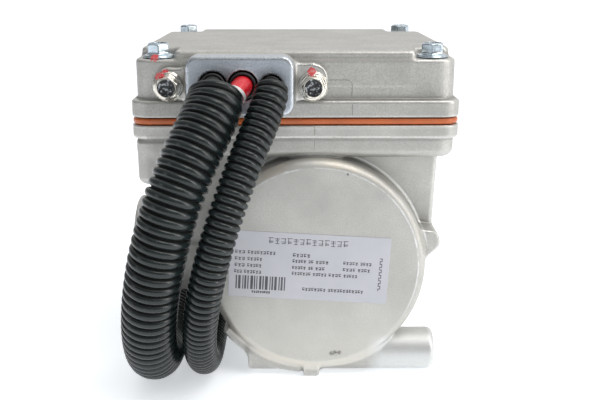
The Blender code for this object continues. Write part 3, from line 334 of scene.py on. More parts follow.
def conduit_plastic():
    """Black polyamide: satin, rubbed paler on the crests here and there, with specks of dust, the grooves
    in painted shade.
    """
    m = Nodes("conduit_plastic", (0.010, 0.012, 0.013), 0.30, 0.0)
    large, fine = m.noise(30.0, 4.0), m.noise(0.6, 3.0)
    tone = m.mix(m.ramp(large, 0.35, 0.7), (0.006, 0.010, 0.010), (0.014, 0.021, 0.022))
    dust = m.ramp(m.noise(1.4, 2.0, roughness=0.5), 0.79, 0.84, 0.0, 0.6)
    # The grooves painted near-black: painted shade.
    groove_shade = m.ramp(m.attribute("groove"), 0.15, 0.8)
    tone = m.mix(groove_shade, m.mix(dust, tone, (0.28, 0.28, 0.27)), (0.0015, 0.0018, 0.002))
    rough = m.math("MAXIMUM", m.ramp(m.noise(8.0, 5.0), 0.3, 0.7, 0.17, 0.33), m.times(groove_shade, 0.9))
    return m.set(Base_Color=tone, Roughness=rough).bump(fine, 0.02).material


def circuit_board():
    """Green solder mask with paler copper runs under it."""
    m = Nodes("circuit_board", (0.02, 0.16, 0.07), 0.35, 0.0)
    brick = m.make("TexBrick", Vector=m.place, Scale=160.0, Mortar_Size=0.06, Mortar=(0.06, 0.33, 0.15),
                   Color1=(0.015, 0.13, 0.055), Color2=(0.02, 0.18, 0.08)).outputs["Color"]
    m.set(Base_Color=m.mix(m.ramp(m.noise(5.0), 0.4, 0.6, 0.0, 0.4), brick, (0.03, 0.2, 0.1)))
    return m.bump(m.noise(0.8), 0.01).material


def paper_label():
    """White film that picks up a lavender cast and lies a little unevenly."""
    m = Nodes("label_film", (0.8, 0.8, 0.85), 0.38, 0.0)
    tone = m.mix(m.ramp(m.noise(26.0, 3.0), 0.3, 0.7), (0.52, 0.53, 0.575), (0.575, 0.575, 0.615))
    m.set(Base_Color=tone, Roughness=m.ramp(m.noise(4.0), 0.3, 0.7, 0.32, 0.46))
    return m.bump(m.noise(18.0, 2.0), 0.06).material


def winding_copper():
    """Enamelled wire: strands run round the coil."""
    m = Nodes("copper", (0.72, 0.28, 0.12), 0.32, 1.0)
    strands = m.noise(1.1, 3.0, (1.0, 0.12, 1.0))
    m.set(Base_Color=m.mix(m.ramp(strands, 0.35, 0.65), (0.42, 0.13, 0.05), (0.8, 0.34, 0.15)))
    return m.bump(strands, 0.2).material


def torque_paint():
    """Thin red paint with the metal showing through."""
    m = Nodes("torque_paint", (0.70, 0.07, 0.08), 0.45, 0.0)
    m.set(Base_Color=m.mix(m.ramp(m.noise(1.7, 4.0), 0.48, 0.66), (0.70, 0.07, 0.08), (0.52, 0.32, 0.30)))
    return m.bump(m.noise(0.8), 0.05).material


def make_materials():
    """Materials by the record's slot name, with extras for printing, paint and leads."""
    grey = (0.52, 0.512, 0.485)
    return {
        "cast_aluminium": cast_metal("cast_aluminium", grey),
        "housing_aluminium": cast_metal("housing_aluminium", grey, face=True, sparkle=0.17),
        "block_aluminium": cast_metal("block_aluminium", (0.50, 0.545, 0.60), 0.7, 0.07, 0.42, 0.85,
                                      rub_and_highlight=0.27, behind=(0.52, 0.50, 0.455)),
        "steel": machined("steel", (0.56, 0.57, 0.59)),
        # The last colour of each is the painted shade in a bolt head's dish, darker on zinc_dark.
        "zinc_plate": bolt_metal("zinc_plate", (0.50, 0.57, 0.62), (0.30, 0.35, 0.39)),
        "zinc_dark": bolt_metal("zinc_dark", (0.76, 0.73, 0.66), (0.15, 0.155, 0.16)),
        "gasket_rubber": moulded("gasket_rubber", (0.52, 0.115, 0.022), 0.3, 0.8, 0.015, 0.12,
                                 Coat_Weight=0.25, Coat_Roughness=0.2),
        "black_rubber": moulded("black_rubber", (0.018, 0.018, 0.018), 0.55),
        "conduit_plastic": conduit_plastic(),
        "red_sleeve": moulded("red_sleeve", (0.72, 0.018, 0.03), 0.3, 1.2, 0.03, 0.15,
                              Coat_Weight=0.3, Coat_Roughness=0.15),
        "label_film": paper_label(),
        "circuit_board": circuit_board(),
        "dark_plastic": moulded("dark_plastic", (0.035, 0.035, 0.038), 0.45),
        "orange_plastic": moulded("orange_plastic", (0.72, 0.19, 0.02), 0.36, variation=0.08),
        "copper": winding_copper(),
        "lamination_steel": machined("lamination_steel", (0.32, 0.33, 0.36), 0.4, (0.3, 40.0, 0.3),
                                     12.0, 0.05),
        "spring_steel": machined("spring_steel", (0.42, 0.44, 0.50), 0.22),
        "hard_alloy": machined("hard_alloy", (0.60, 0.59, 0.56), 0.35, metallic=0.9),
        "brass": machined("brass", (0.70, 0.50, 0.20), 0.28),
        "print_ink": moulded("print_ink", (0.10, 0.10, 0.115), 0.5, variation=0.35),
        "torque_paint": torque_paint(),
        "white_tape": moulded("white_tape", (0.82, 0.82, 0.82), 0.4, variation=0.05),
        "parting_shade": cast_metal("parting_shade", scaled(grey, 0.5), 0.6, 0.03, 0.6),
    }


# ---------------------------------------------------------------- making objects

def put(name, mesh, mat, stands_for=(), matrix=None):
    """Object from a mesh: shown, riding on the housing, finished with a material."""
    mesh.materials.clear()
    mesh.materials.append(MATERIALS[mat])
    obj = bpy.data.objects.new(name, mesh)
    bpy.context.scene.collection.objects.link(obj)
    if matrix is not None:
        obj.matrix_world = matrix
    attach(obj, "housing")
    if stands_for:
        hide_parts(*stands_for)
    return obj


def to_mesh(name, points, faces, smooth=True, moved=True):
    """Mesh from design millimetres."""
    points = (np.asarray(points, float) + (ORIGIN if moved else 0.0)) * MM
    mesh = bpy.data.meshes.new(name)
    mesh.from_pydata(points.tolist(), [], [list(map(int, f)) for f in faces])
    mesh.update()
    if smooth:
        mesh.shade_smooth()
    return mesh


def joined(parts):
    """One (points, faces) pair out of several."""
    points, faces = [], []
    for some_points, some_faces in parts:
        faces.extend([[i + len(points) for i in f] for f in some_faces])
        points.extend(list(map(tuple, some_points)))
    return points, faces


def skin(rows, count, flip=False, closed=False):
    """Faces over rows of count points, with a cap at each end unless the rows close up."""
    faces = []
    for r in range(rows if closed else rows - 1):
        up = (r + 1) % rows
        for k in range(count):
            n = (k + 1) % count
            quad = (r * count + k, r * count + n, up * count + n, up * count + k)
            faces.append((quad[0], *quad[:0:-1]) if flip else quad)
    if not closed:
        first, last = tuple(range(count)), tuple(range((rows - 1) * count, rows * count))
        faces += [first, last[::-1]] if flip else [first[::-1], last]
    return faces


def lathe(profile, centre, axis="y", segments=48):
    """Closed turned body as (points, faces). Profile points are (radius, height)."""
    points = []
    for radius, height in profile:
        for a in np.linspace(0.0, math.tau, segments, endpoint=False):
            u, v = radius * math.cos(a), radius * math.sin(a)
            place = (v, height, u) if axis == "y" else (u, v, height)
            points.append(tuple(p + c for p, c in zip(place, centre)))
    return points, skin(len(profile), segments)


def smooth_path(route, spacing):
    """Evenly spaced points on a smooth curve through the route's own points."""
    points = [Vector(p) for p in route]
    ends = [points[0] * 2 - points[1]] + points + [points[-1] * 2 - points[-2]]
    fine = []
    for before, start, end, after in zip(ends, ends[1:], ends[2:], ends[3:]):
        fine += interpolate_bezier(start, start + (end - before) / 6, end - (after - start) / 6, end, 24)
    fine = np.array([tuple(p) for p in fine])
    steps = np.linalg.norm(np.diff(fine, axis=0), axis=1)
    keep = np.r_[True, steps > 1e-6]
    fine = fine[keep]
    reach = np.r_[0.0, np.cumsum(np.linalg.norm(np.diff(fine, axis=0), axis=1))]
    count = max(2, round(reach[-1] / spacing))
    return resample(fine, reach, np.linspace(0.0, reach[-1], count + 1)), reach[-1]


def resample(points, reach, wanted):
    return np.stack([np.interp(wanted, reach, points[:, k]) for k in range(3)], axis=1)


def cross_frames(path):
    """Two directions across each point of a path that turn as little as they can along it."""
    along = np.gradient(path, axis=0)
    along /= np.linalg.norm(along, axis=1)[:, None]
    side = np.cross(along[0], (0.0, 1.0, 0.0))
    sides = []
    for direction in along:
        side = side - direction * side.dot(direction)
        side /= np.linalg.norm(side)
        sides.append(side)
    sides = np.array(sides)
    return sides, np.cross(along, sides)


def swept(path, stations, segments):
    """Tube whose rings are (distance along the path, radius), as (points, faces)."""
    reach = np.r_[0.0, np.cumsum(np.linalg.norm(np.diff(path, axis=0), axis=1))]
    sides, ups = cross_frames(path)
    where = np.array([s for s, _ in stations])
    centres = resample(path, reach, where)
    first, second = resample(sides, reach, where), resample(ups, reach, where)
    turn = np.linspace(0.0, math.tau, segments, endpoint=False)
    radii = np.array([r for _, r in stations])
    rings = (centres[:, None, :] + radii[:, None, None] * (
        np.cos(turn)[None, :, None] * first[:, None, :] + np.sin(turn)[None, :, None] * second[:, None, :]))
    return rings.reshape(-1, 3), skin(len(stations), segments, flip=True)


# ---------------------------------------------------------------- cords

def ridge_stations(length, pitch, radius, depth):
    """Rings of a corrugated tube: broad round crests and narrow grooves, open at its mouth."""
    wave = [(0.0, 1.0), (0.06, 0.97), (0.11, 0.6), (0.19, 0.28), (0.32, 0.07), (0.5, 0.0),
            (0.68, 0.07), (0.81, 0.28), (0.89, 0.6), (0.94, 0.97)]
    stations = [(5.0, radius - depth - 1.3), (0.3, radius - depth - 1.1), (0.0, radius - depth - 0.6)]
    ridges = int(length / pitch)
    for k in range(ridges):
        taper = 0.5 if k == 0 else 0.0
        for where, drop in wave:
            stations.append(((k + where) * pitch, radius - drop * depth - taper))
    stations.append((ridges * pitch, radius - depth))
    stations.append((length, radius - depth))
    return stations


def add_conduit(name, route, radius, pitch, depth, segments):
    path, length = smooth_path(route, 1.5)
    crest = radius - 0.05
    stations = ridge_stations(length, pitch, crest, depth)
    mesh = to_mesh(name, *swept(path, stations, segments))
    # How far down each ring lies, for the painted shade in the grooves.
    low = np.repeat([min((crest - r) / depth, 1.0) for _, r in stations], segments)
    mesh.attributes.new("groove", "FLOAT", "POINT").data.foreach_set("value", low.astype(np.float32))
    tube = put(name, mesh, "conduit_plastic", stands_for=[name.replace("_tube", "")])


# ---------------------------------------------------------------- distance functions

def rect(x, y, half_x, half_y, radius):
    """Distance to a rectangle with round corners, in its own plane."""
    over_x, over_y = np.abs(x) - half_x + radius, np.abs(y) - half_y + radius
    outside = np.hypot(np.maximum(over_x, 0.0), np.maximum(over_y, 0.0))
    return outside + np.minimum(np.maximum(over_x, over_y), 0.0) - radius


def disc(u, v, centre_u, centre_v, radius):
    return np.hypot(u - centre_u, v - centre_v) - radius


def slab(flat, height, low, high, low_edge=0.6, high_edge=0.6):
    """Extrude a flat distance from low to high with a round edge at each end."""
    edge = np.where(height < (low + high) / 2, low_edge, high_edge)
    a, b = flat + edge, np.maximum(low - height, height - high) + edge
    outside = np.hypot(np.maximum(a, 0.0), np.maximum(b, 0.0))
    return outside + np.minimum(np.maximum(a, b), 0.0) - edge


def polygon(x, y, corners, softness):
    """Distance to a convex polygon given anticlockwise, its corners rounded by softness."""
    middle = np.mean(corners, axis=0)
    away = None
    for (ax, ay), (bx, by) in zip(corners, np.roll(corners, -1, axis=0)):
        length = math.hypot(bx - ax, by - ay)
        side = ((x - ax) * (by - ay) - (y - ay) * (bx - ax)) / length
        if (middle[0] - ax) * (by - ay) - (middle[1] - ay) * (bx - ax) > 0:
            side = -side
        away = side if away is None else -blend(-away, -side, softness)
    return away


def blend(a, b, size=1.0):
    """Union with a fillet."""
    near = np.maximum(size - np.abs(a - b), 0.0) / size
    return np.minimum(a, b) - near * near * size * 0.25


def carve(a, b, size=0.5):
    """Cut b out of a, with a softened edge."""
    return -blend(-a, b, size)


def grow(body, *parts):
    """Join parts to a body, each with the size of its fillet."""
    for part, fillet in parts:
        body = blend(body, part, fillet)
    return body


def drill(body, *parts):
    """Carve parts out of a body, each with the softness of its edge."""
    for part, softness in parts:
        body = carve(body, part, softness)
    return body


def polar(radius, degrees):
    a = math.radians(degrees)
    return SHAFT_X + radius * math.cos(a), SHAFT_Z + radius * math.sin(a)


def on_grid(function, low, high, cell):
    """Values of a distance function on a grid, worked out a few layers at a time."""
    counts = [int(math.ceil((h - l) / cell)) + 1 for l, h in zip(low, high)]
    axes = [l + cell * np.arange(n) for l, n in zip(low, counts)]
    values = np.empty(counts, np.float32)
    layer = max(1, 400000 // (counts[1] * counts[2]))
    for start in range(0, counts[0], layer):
        x, y, z = np.meshgrid(axes[0][start:start + layer], axes[1], axes[2], indexing="ij")
        values[start:start + layer] = function(x, y, z)
    return values


def net(values, low, cell):
    """Surface net of a grid of distances: (points, quads)."""
    inside = values < 0.0
    corner = [(i, j, k) for i in (0, 1) for j in (0, 1) for k in (0, 1)]
    size = [n - 1 for n in values.shape]
    cut = {c: inside[c[0]:c[0] + size[0], c[1]:c[1] + size[1], c[2]:c[2] + size[2]] for c in corner}
    total = sum(c.astype(np.int8) for c in cut.values())
    cells = np.argwhere((total > 0) & (total < 8))
    index = np.full(size, -1, np.int32)
    index[tuple(cells.T)] = np.arange(len(cells))
    near = {c: values[tuple((cells + c).T)] for c in corner}
    points, hits = np.zeros((len(cells), 3)), np.zeros(len(cells))
    for a in corner:
        for axis in range(3):
            if a[axis]:
                continue
            b = tuple(1 if n == axis else v for n, v in enumerate(a))
            crossing = (near[a] < 0) != (near[b] < 0)
            share = near[a] / np.where(crossing, near[a] - near[b], 1.0)
            place = np.array(a, float)[None, :].repeat(len(cells), axis=0)
            place[:, axis] = share
            points[crossing] += place[crossing]
            hits += crossing
    points = np.array(low) + cell * (cells + points / hits[:, None])
    quads = []
    for axis in range(3):
        order = [axis, *(n for n in range(3) if n != axis)]
        first = np.moveaxis(inside, axis, 0)
        where = np.argwhere(first[:-1, 1:-1, 1:-1] != first[1:, 1:-1, 1:-1])
        leaving = first[:-1, 1:-1, 1:-1][tuple(where.T)] != (axis == 1)
        ring = []
        for steps in ((0, 0), (1, 0), (1, 1), (0, 1)):
            at = np.empty_like(where)
            at[:, order] = where + (0, *steps)
            ring.append(index[tuple(at.T)])
        ring = np.stack(ring, axis=1)
        ring[~leaving] = ring[~leaving][:, ::-1]
        quads.append(ring)
    return points, np.concatenate(quads)


def slope(function, points, step=0.05):
    """Gradient of a distance function at points."""
    result = np.zeros_like(points)
    for axis in range(3):
        ahead, behind = points.copy(), points.copy()
        ahead[:, axis] += step
        behind[:, axis] -= step
        result[:, axis] = (function(*ahead.T) - function(*behind.T)) / (2 * step)
    return result


def surface(name, function, low, high, cell, keep=0.3, moved=True):
    """Rounded body as a mesh: net, settle its points on the surface, thin it out, exact normals."""
    points, quads = net(on_grid(function, low, high, cell), low, cell)
    for _ in range(2):
        gradient = slope(function, points)
        reach = function(*points.T) / np.maximum((gradient ** 2).sum(axis=1), 0.25)
        points -= gradient * np.clip(reach, -0.5 * cell, 0.5 * cell)[:, None]
    mesh = bpy.data.meshes.new(name)
    mesh.from_pydata(points.tolist(), [], quads.tolist())
    mesh.validate()
    helper = bpy.data.objects.new(name + "_helper", mesh)
    bpy.context.scene.collection.objects.link(helper)
    helper.modifiers.new("thin", "DECIMATE").ratio = keep
    result = bpy.data.meshes.new_from_object(helper.evaluated_get(bpy.context.evaluated_depsgraph_get()))
    bpy.data.objects.remove(helper)
    bpy.data.meshes.remove(mesh)
    result.name = name
    place = np.empty(len(result.vertices) * 3)
    result.vertices.foreach_get("co", place)
    place = place.reshape(-1, 3)
    normals = slope(function, place)
    normals /= np.maximum(np.linalg.norm(normals, axis=1), 1e-6)[:, None]
    bend = -6.0 * function(*place.T)
    for axis in range(3):
        for step in (-CURVE_REACH, CURVE_REACH):
            aside = place.copy()
            aside[:, axis] += step
            bend += function(*aside.T)
    bend /= CURVE_REACH ** 2
    # Curvature for the castings: paler convex edges, partly wear and partly painted highlight, and painted
    # shade in the inner corners.
    for key, value in (("worn_and_highlight", bend - 0.22), ("corner_shade", -bend - 0.10)):
        layer = result.attributes.new(key, "FLOAT", "POINT")
        layer.data.foreach_set("value", np.clip(value * 2.5, 0.0, 1.0).astype(np.float32))
    result.vertices.foreach_set("co", ((place + (ORIGIN if moved else 0.0)) * MM).ravel())
    result.shade_smooth()
    result.normals_split_custom_set_from_vertices(normals.tolist())
    result.update()
    return result


# ---------------------------------------------------------------- castings

LUG = np.array([(50, 58), (64.0, 62.4), (71.2, 69.0), (72.2, 71.4), (71.4, 75.2), (69.6, 77.4),
                (62, 78.6), (50, 79.2)])


def tube_distance(x, y, z, middle_y):
    return slab(disc(y, z, middle_y, 10.8, 10.8), x, -25.0, 71.6, 1.6, 3.0)


def tube_bore(x, y, z, middle_y):
    across = disc(y, z, middle_y, 10.8, 5.2)
    return np.minimum(across, np.maximum(across - 0.8, np.minimum(x + 24.2, 70.8 - x)))


def off_ears(x, z):
    """Distance to the nearest of the rear ears' centre lines."""
    return np.minimum.reduce([disc(x, z, *polar(EAR_PITCH_R, angle), 0.0) for angle in EAR_ANGLES])


def housing(x, y, z):
    """Drum, neck, tray, boss, lug, rim band, foot and mounting tube in one casting."""
    round_shaft = disc(x, z, SHAFT_X, SHAFT_Z, 0.0)
    drum = slab(round_shaft - 55.0, y, -78.5, 86.0, 4.5, 0.6)
    lean = (z - 68.0) / 48.0
    neck = slab(rect(x - 4.9 - 0.4 * lean, y, 64.7 + 1.2 * lean, 61.5 + lean, 2.5), z, 66.0, 122.0, 6.0)
    wall = slab(rect(x, y, TRAY_X, WALL_Y, WALL_CORNER), z, 114.3, 128.0, 4.4)
    flange = slab(rect(x, y, BOX_X, BOX_Y, BOX_CORNER), z, 124.6, 131.3, 1.5, 0.5)
    pocket = slab(rect(x + TRAY_X - 12.6, y + 21.2, 12.6, 51.2, 6.0), z, 101.0, 122.0, 3.4)
    boss = slab(disc(y, z, -30.0, 58.0, 26.0), x, -85.0, 0.0, 1.6)
    lug = slab(polygon(x, z, LUG, 0.7), y, -75.0, -60.0, 1.0)
    start, end = math.radians(217 + 90), math.radians(262.5 + 90)
    before = -((x - SHAFT_X) * math.cos(start) + (z - SHAFT_Z) * math.sin(start))
    after = (x - SHAFT_X) * math.cos(end) + (z - SHAFT_Z) * math.sin(end)
    band = np.maximum(np.abs(round_shaft - 54.0) - 5.4, np.maximum(before, after))
    band = slab(band, y, -75.5, -64.0, 0.8)
    tab = slab(rect(x - 7.85, y + 71.9, 4.05, 5.9, 1.0), z, 0.0, 10.0, 0.6)
    rear = blend(slab(round_shaft - 58.0, y, 78.0, 86.0, 1.2, 0.5),
                 slab(off_ears(x, z) - 7.2, y, 78.0, 86.0, 0.8, 0.8), 2.5)
    body = grow(drum, (neck, 2.2), (wall, 1.6), (flange, 1.2), (pocket, 2.0), (boss, 5.0), (lug, 1.6),
                (band, 1.0), (tab, 1.4), (tube_distance(x, y, z, -66.0), 3.0), (rear, 2.5))
    seat = np.maximum(np.maximum(round_shaft - 17.0, 13.0 - round_shaft), y + 62.5)
    motor_space = np.minimum(slab(round_shaft - 48.0, y, -49.0, 100.0, 3.0),
                             np.maximum(slab(round_shaft - 36.0, y, -73.0, -30.0, 1.0), -seat))
    hollow = blend(rect(x, y, 69.0, 53.0, 3.0), rect(x, y, 57.0, 66.0, 3.0), 3.0)
    feed_through = np.maximum(disc(x, y, SHAFT_X, -41.0, 12.0), np.maximum(100.0 - z, z - 120.0))
    nick = np.sqrt((x - 21.5) ** 2 + (y + 63.5) ** 2 + (z - 115.2) ** 2) - 1.3
    suction = disc(y, z, -30.0, 58.0, 9.0)
    suction = np.maximum(np.minimum(suction, np.maximum(suction - 1.6, x + 81.0)), x + 30.0)
    body = drill(body, (motor_space, 0.6), (slab(hollow, z, 117.5, 150.0, 1.5), 0.6),
                 (feed_through, 0.5), (nick, 0.3), (suction, 0.8),
                 (np.maximum(disc(np.abs(x), np.abs(y), 66.0, 63.7, 3.3), 118.0 - z), 0.5),
                 (np.maximum(off_ears(x, z) - 3.3, 76.0 - y), 0.5),
                 (np.maximum(disc(y, z, -30.0, 76.0, 2.6), x + 71.0), 0.5),
                 (tube_bore(x, y, z, -66.0), 0.6))
    return np.maximum(body, -z)


def lid(x, y, z):
    foot = slab(rect(x, y, BOX_X, BOX_Y, BOX_CORNER), z, 135.0, 143.3, 0.5, 1.3)
    walls = slab(rect(x, y, WALL_X, WALL_Y, WALL_CORNER), z, 136.0, PAD_Z, 0.5, 1.7)
    cross = blend(rect(x, y, WALL_X - 0.5, 51.5, 3.5), rect(x, y, 57.8, 72.0, 3.5), 4.5)
    plate = slab(cross, z, 150.0, LID_TOP_Z, 0.5, 2.2)
    hollow = blend(rect(x, y, 69.0, 51.0, 3.0), rect(x, y, 56.0, 61.5, 3.0), 3.0)
    holes = [disc(np.abs(x), np.abs(y), 66.0, 63.7, 3.3)]
    holes += [np.maximum(disc(x, z, hole_x, CABLE_Z, radius + 0.4), y + 50.0)
              for hole_x, radius in CABLE_HOLES]
    holes += [np.maximum(disc(x, z, bolt_x, BLOCK_BOLT_Z, 3.3), y + 67.0) for bolt_x in BLOCK_BOLT_X]
    body = grow(foot, (walls, 1.0), (plate, 1.6))
    return drill(body, (slab(hollow, z, 120.0, 161.0, 0.5, 2.0), 0.6), *((hole, 0.5) for hole in holes))


def block(x, y, z):
    """Cable block: thick plate with a soft front edge and a thin ear at each side."""
    body = slab(rect(x + 26.0, z - 151.35, 25.2, 14.05, 5.8), y, BLOCK_FRONT_Y, -72.8, 2.0)
    for bolt_x, top_z, toward in zip(BLOCK_BOLT_X, BLOCK_EAR_Z, (1.0, -1.0)):
        reach = (x - bolt_x) * toward
        spread = 7.1 + 0.035 * np.clip(reach, 0.0, 14.0) ** 1.45
        neck = np.maximum(np.maximum(z - top_z - spread, BLOCK_BOLT_Z - 0.93 * spread - z),
                          np.maximum(-reach, reach - 14.0))
        round_end = np.hypot(x - bolt_x, z - np.clip(z, BLOCK_BOLT_Z, top_z)) - BLOCK_EAR_R
        flat = blend(round_end, neck, 1.5)
        body = blend(body, slab(flat, y, EAR_FRONT_Y, -72.8, 1.4), 3.0)
    ledge = np.maximum(-y - 76.8, z - 143.7)
    body = carve(body, ledge, 0.6)
    for hole_x, radius in CABLE_HOLES:
        hole = disc(x, z, hole_x, CABLE_Z, radius)
        body = carve(body, np.minimum(hole, np.maximum(hole - 0.6, y + BLOCK_FRONT_Y + 0.6)), 0.6)
    for bolt_x in BLOCK_BOLT_X:
        body = carve(body, disc(x, z, bolt_x, BLOCK_BOLT_Z, 3.3))
    return body


def rear_casting(x, y, z):
    """Discharge cover with radial ribs, port boss and rear mounting tube."""
    round_shaft = disc(x, z, SHAFT_X, SHAFT_Z, 0.0)
    rim = slab(round_shaft - 58.0, y, 87.4, 97.0, 0.8, 1.5)
    body = grow(rim, (slab(off_ears(x, z) - 7.2, y, 87.4, 97.0, 0.8, 0.8), 2.5),
                (slab(round_shaft - 52.5, y, 88.0, 112.5, 0.5, 4.0), 2.5))
    body = np.minimum(body, slab(round_shaft - 47.7, y, 86.0, 95.0, 0.5))
    for angle in (15, 75, 135, 195, 315):
        a = math.radians(angle)
        along = (x - SHAFT_X) * math.cos(a) + (z - SHAFT_Z) * math.sin(a)
        across = (z - SHAFT_Z) * math.cos(a) - (x - SHAFT_X) * math.sin(a)
        body = blend(body, slab(rect(along - 30.0, across, 19.0, 1.6, 1.0), y, 108.0, 114.6, 0.5), 2.4)
    hub = slab(round_shaft - 13.0, y, 105.0, 114.6, 0.5, 1.5)
    boss = slab(disc(x, z, 30.0, 78.0, 12.0), y, 100.0, 118.0, 0.5, 1.0)
    port = disc(x, z, 30.0, 78.0, 5.5)
    port = np.maximum(np.minimum(port, np.maximum(port - 1.2, 115.5 - y)), 100.0 - y)
    body = grow(body, (hub, 2.4), (boss, 3.0), (tube_distance(x, y, z, 99.0), 3.0))
    body = drill(body, (slab(round_shaft - 37.0, y, 60.0, 106.0, 1.0, 2.0), 0.6), (port, 0.8),
                 (off_ears(x, z) - 3.3, 0.5), (tube_bore(x, y, z, 99.0), 0.6))
    return np.maximum(body, -z)


def add_castings():
    for name, node, mat, *shape in (
            ("housing_casting", "motor_housing", "housing_aluminium", housing,
             (-88, -81, -2), (83, 89, 134), 1.0, 0.2),
            ("lid_casting", "inverter_cover", "cast_aluminium", lid,
             (-82, -79, 133), (82, 79, 168.5), 1.0, 0.28),
            ("block_casting", "cable_block", "block_aluminium", block,
             (-69, -88, 136), (17, -71.5, 167), 0.55, 0.4),
            ("rear_casting", "rear_cover", "cast_aluminium", rear_casting,
             (-60, 84, -2), (80, 120, 130), 1.1, 0.4)):
        put(name, surface(name, *shape), mat, stands_for=[node])


# ---------------------------------------------------------------- seals, bolts, outlets

def rounded_outline(half_x, half_y, radius, steps=8):
    points = []
    for quarter, (sx, sy) in enumerate(((1, 1), (-1, 1), (-1, -1), (1, -1))):
        for k in range(steps + 1):
            a = math.radians(90 * (quarter + k / steps))
            points.append((sx * (half_x - radius) + radius * math.cos(a),
                           sy * (half_y - radius) + radius * math.sin(a)))
    return points


def add_lid_seal():
    """Silicone seal squeezed out between two lips into a soft bead."""
    profile = [(-7.0, 131.6), (-1.5, 131.6), (-0.75, 131.75), (-0.3, 132.1), (-0.02, 132.65),
               (-0.16, 133.1), (0.0, 133.55), (-0.2, 134.1), (-0.75, 134.55), (-1.5, 134.7), (-7.0, 134.7)]
    rings = [rounded_outline(BOX_X - 0.2 + off, BOX_Y - 0.2 + off, max(BOX_CORNER + off, 1.5))
             for off, _ in profile]
    points = [(x, y, height) for ring, (_, height) in zip(rings, profile) for x, y in ring]
    put("lid_seal", to_mesh("lid_seal", points, skin(len(profile), len(rings[0]), closed=True)),
        "gasket_rubber", stands_for=["cover_gasket"])


def bolt_head(x, y, z, flange_r=7.1):
    """M6 flange bolt head, bearing face at 0: dished hexagon on a sloping flange."""
    r = np.hypot(x, y)
    flange = slab(r - flange_r, z, 0.0, 1.2, 0.3, 0.5)
    cone = np.maximum((r - flange_r + 0.5) * 0.6 + (z - 1.0) * 0.8, np.maximum(-z, z - 2.8))
    flats = [x * math.cos(a) + y * math.sin(a) - 5.0 for a in np.radians([30, 90, 150, 210, 270, 330])]
    hexagon = flats[0]
    for flat in flats[1:]:
        hexagon = -blend(-hexagon, -flat, 0.35)
    head = slab(hexagon, z, 0.5, 7.0, 0.3, 0.35)
    head = -blend(-head, -((r - 5.15) * 0.55 + (z - 6.35) * 0.83), 0.4)
    dish = np.maximum(6.0 - z + 0.02 * r * r, (r - 4.3) - (z - 7.0) * 0.45)
    for a in np.radians([80, 200, 320]):
        mark = rect(x - 2.2 * math.cos(a), y - 2.2 * math.sin(a), 0.85, 0.85, 0.5)
        dish = np.maximum(dish, -np.maximum(mark, z - 6.6))
    head = carve(head, dish, 0.25)
    return blend(blend(flange, cone, 0.5), head, 0.7)


def bolt_mesh(name, head, length):
    """Head joined with a threaded shank of its own length."""
    profile = [(2.2, -length), (3.0, -length + 0.8)]
    for k in range(int(length - 2.5)):
        profile += [(3.0, -length + 1.0 + k), (2.55, -length + 1.5 + k)]
    profile += [(3.0, -1.2), (3.0, 0.6)]
    shank = to_mesh(name, *lathe(profile, (0, 0, 0), "z", 20), moved=False)
    both = []
    for part in (head, shank):
        obj = bpy.data.objects.new(name, part.copy())
        bpy.context.scene.collection.objects.link(obj)
        both.append(obj)
    with bpy.context.temp_override(active_object=both[0], selected_editable_objects=both):
        bpy.ops.object.join()
    mesh = both[0].data
    bpy.data.objects.remove(both[0])
    mesh.name = name
    return mesh


def add_bolts():
    heads = {flange_r: surface("bolt_head", lambda x, y, z, r=flange_r: bolt_head(x, y, z, r),
                               (-8, -8, -0.8), (8, 8, 8.2), 0.26, 0.35, moved=False)
             for flange_r in (7.1, BLOCK_BOLT_FLANGE_R)}
    up, front, back = (Matrix.Rotation(math.radians(turn), 4, "X") for turn in (0, 90, -90))
    places = [(f"cover_bolt_{k + 1}", (x, y, PAD_Z + 0.3), up, 42.0, "zinc_plate", (37, 19, 8, 31)[k])
              for k, (x, y) in enumerate(COVER_BOLTS)]
    places += [(f"block_bolt_{k + 1}", (x, EAR_FRONT_Y - 0.3, BLOCK_BOLT_Z), front, 11.0, "zinc_dark",
                20 + 31 * k) for k, x in enumerate(BLOCK_BOLT_X)]
    for k, angle in enumerate(EAR_ANGLES):
        x, z = polar(EAR_PITCH_R, angle)
        places.append((f"rear_bolt_{k + 1}", (x, 97.3, z), back, 18.5, "zinc_plate", 23 * k))
    shapes = {length: bolt_mesh(f"bolt_{int(length)}", heads[flange_r], length)
              for length, flange_r in ((42.0, 7.1), (11.0, BLOCK_BOLT_FLANGE_R), (18.5, 7.1))}
    for name, place, turn, length, mat, twist in places:
        matrix = Matrix.Translation((np.array(place) + ORIGIN) * MM) @ turn @ \
            Matrix.Rotation(math.radians(twist), 4, "Z")
        put(name + "_shown", shapes[length].copy(), mat, stands_for=[name], matrix=matrix)


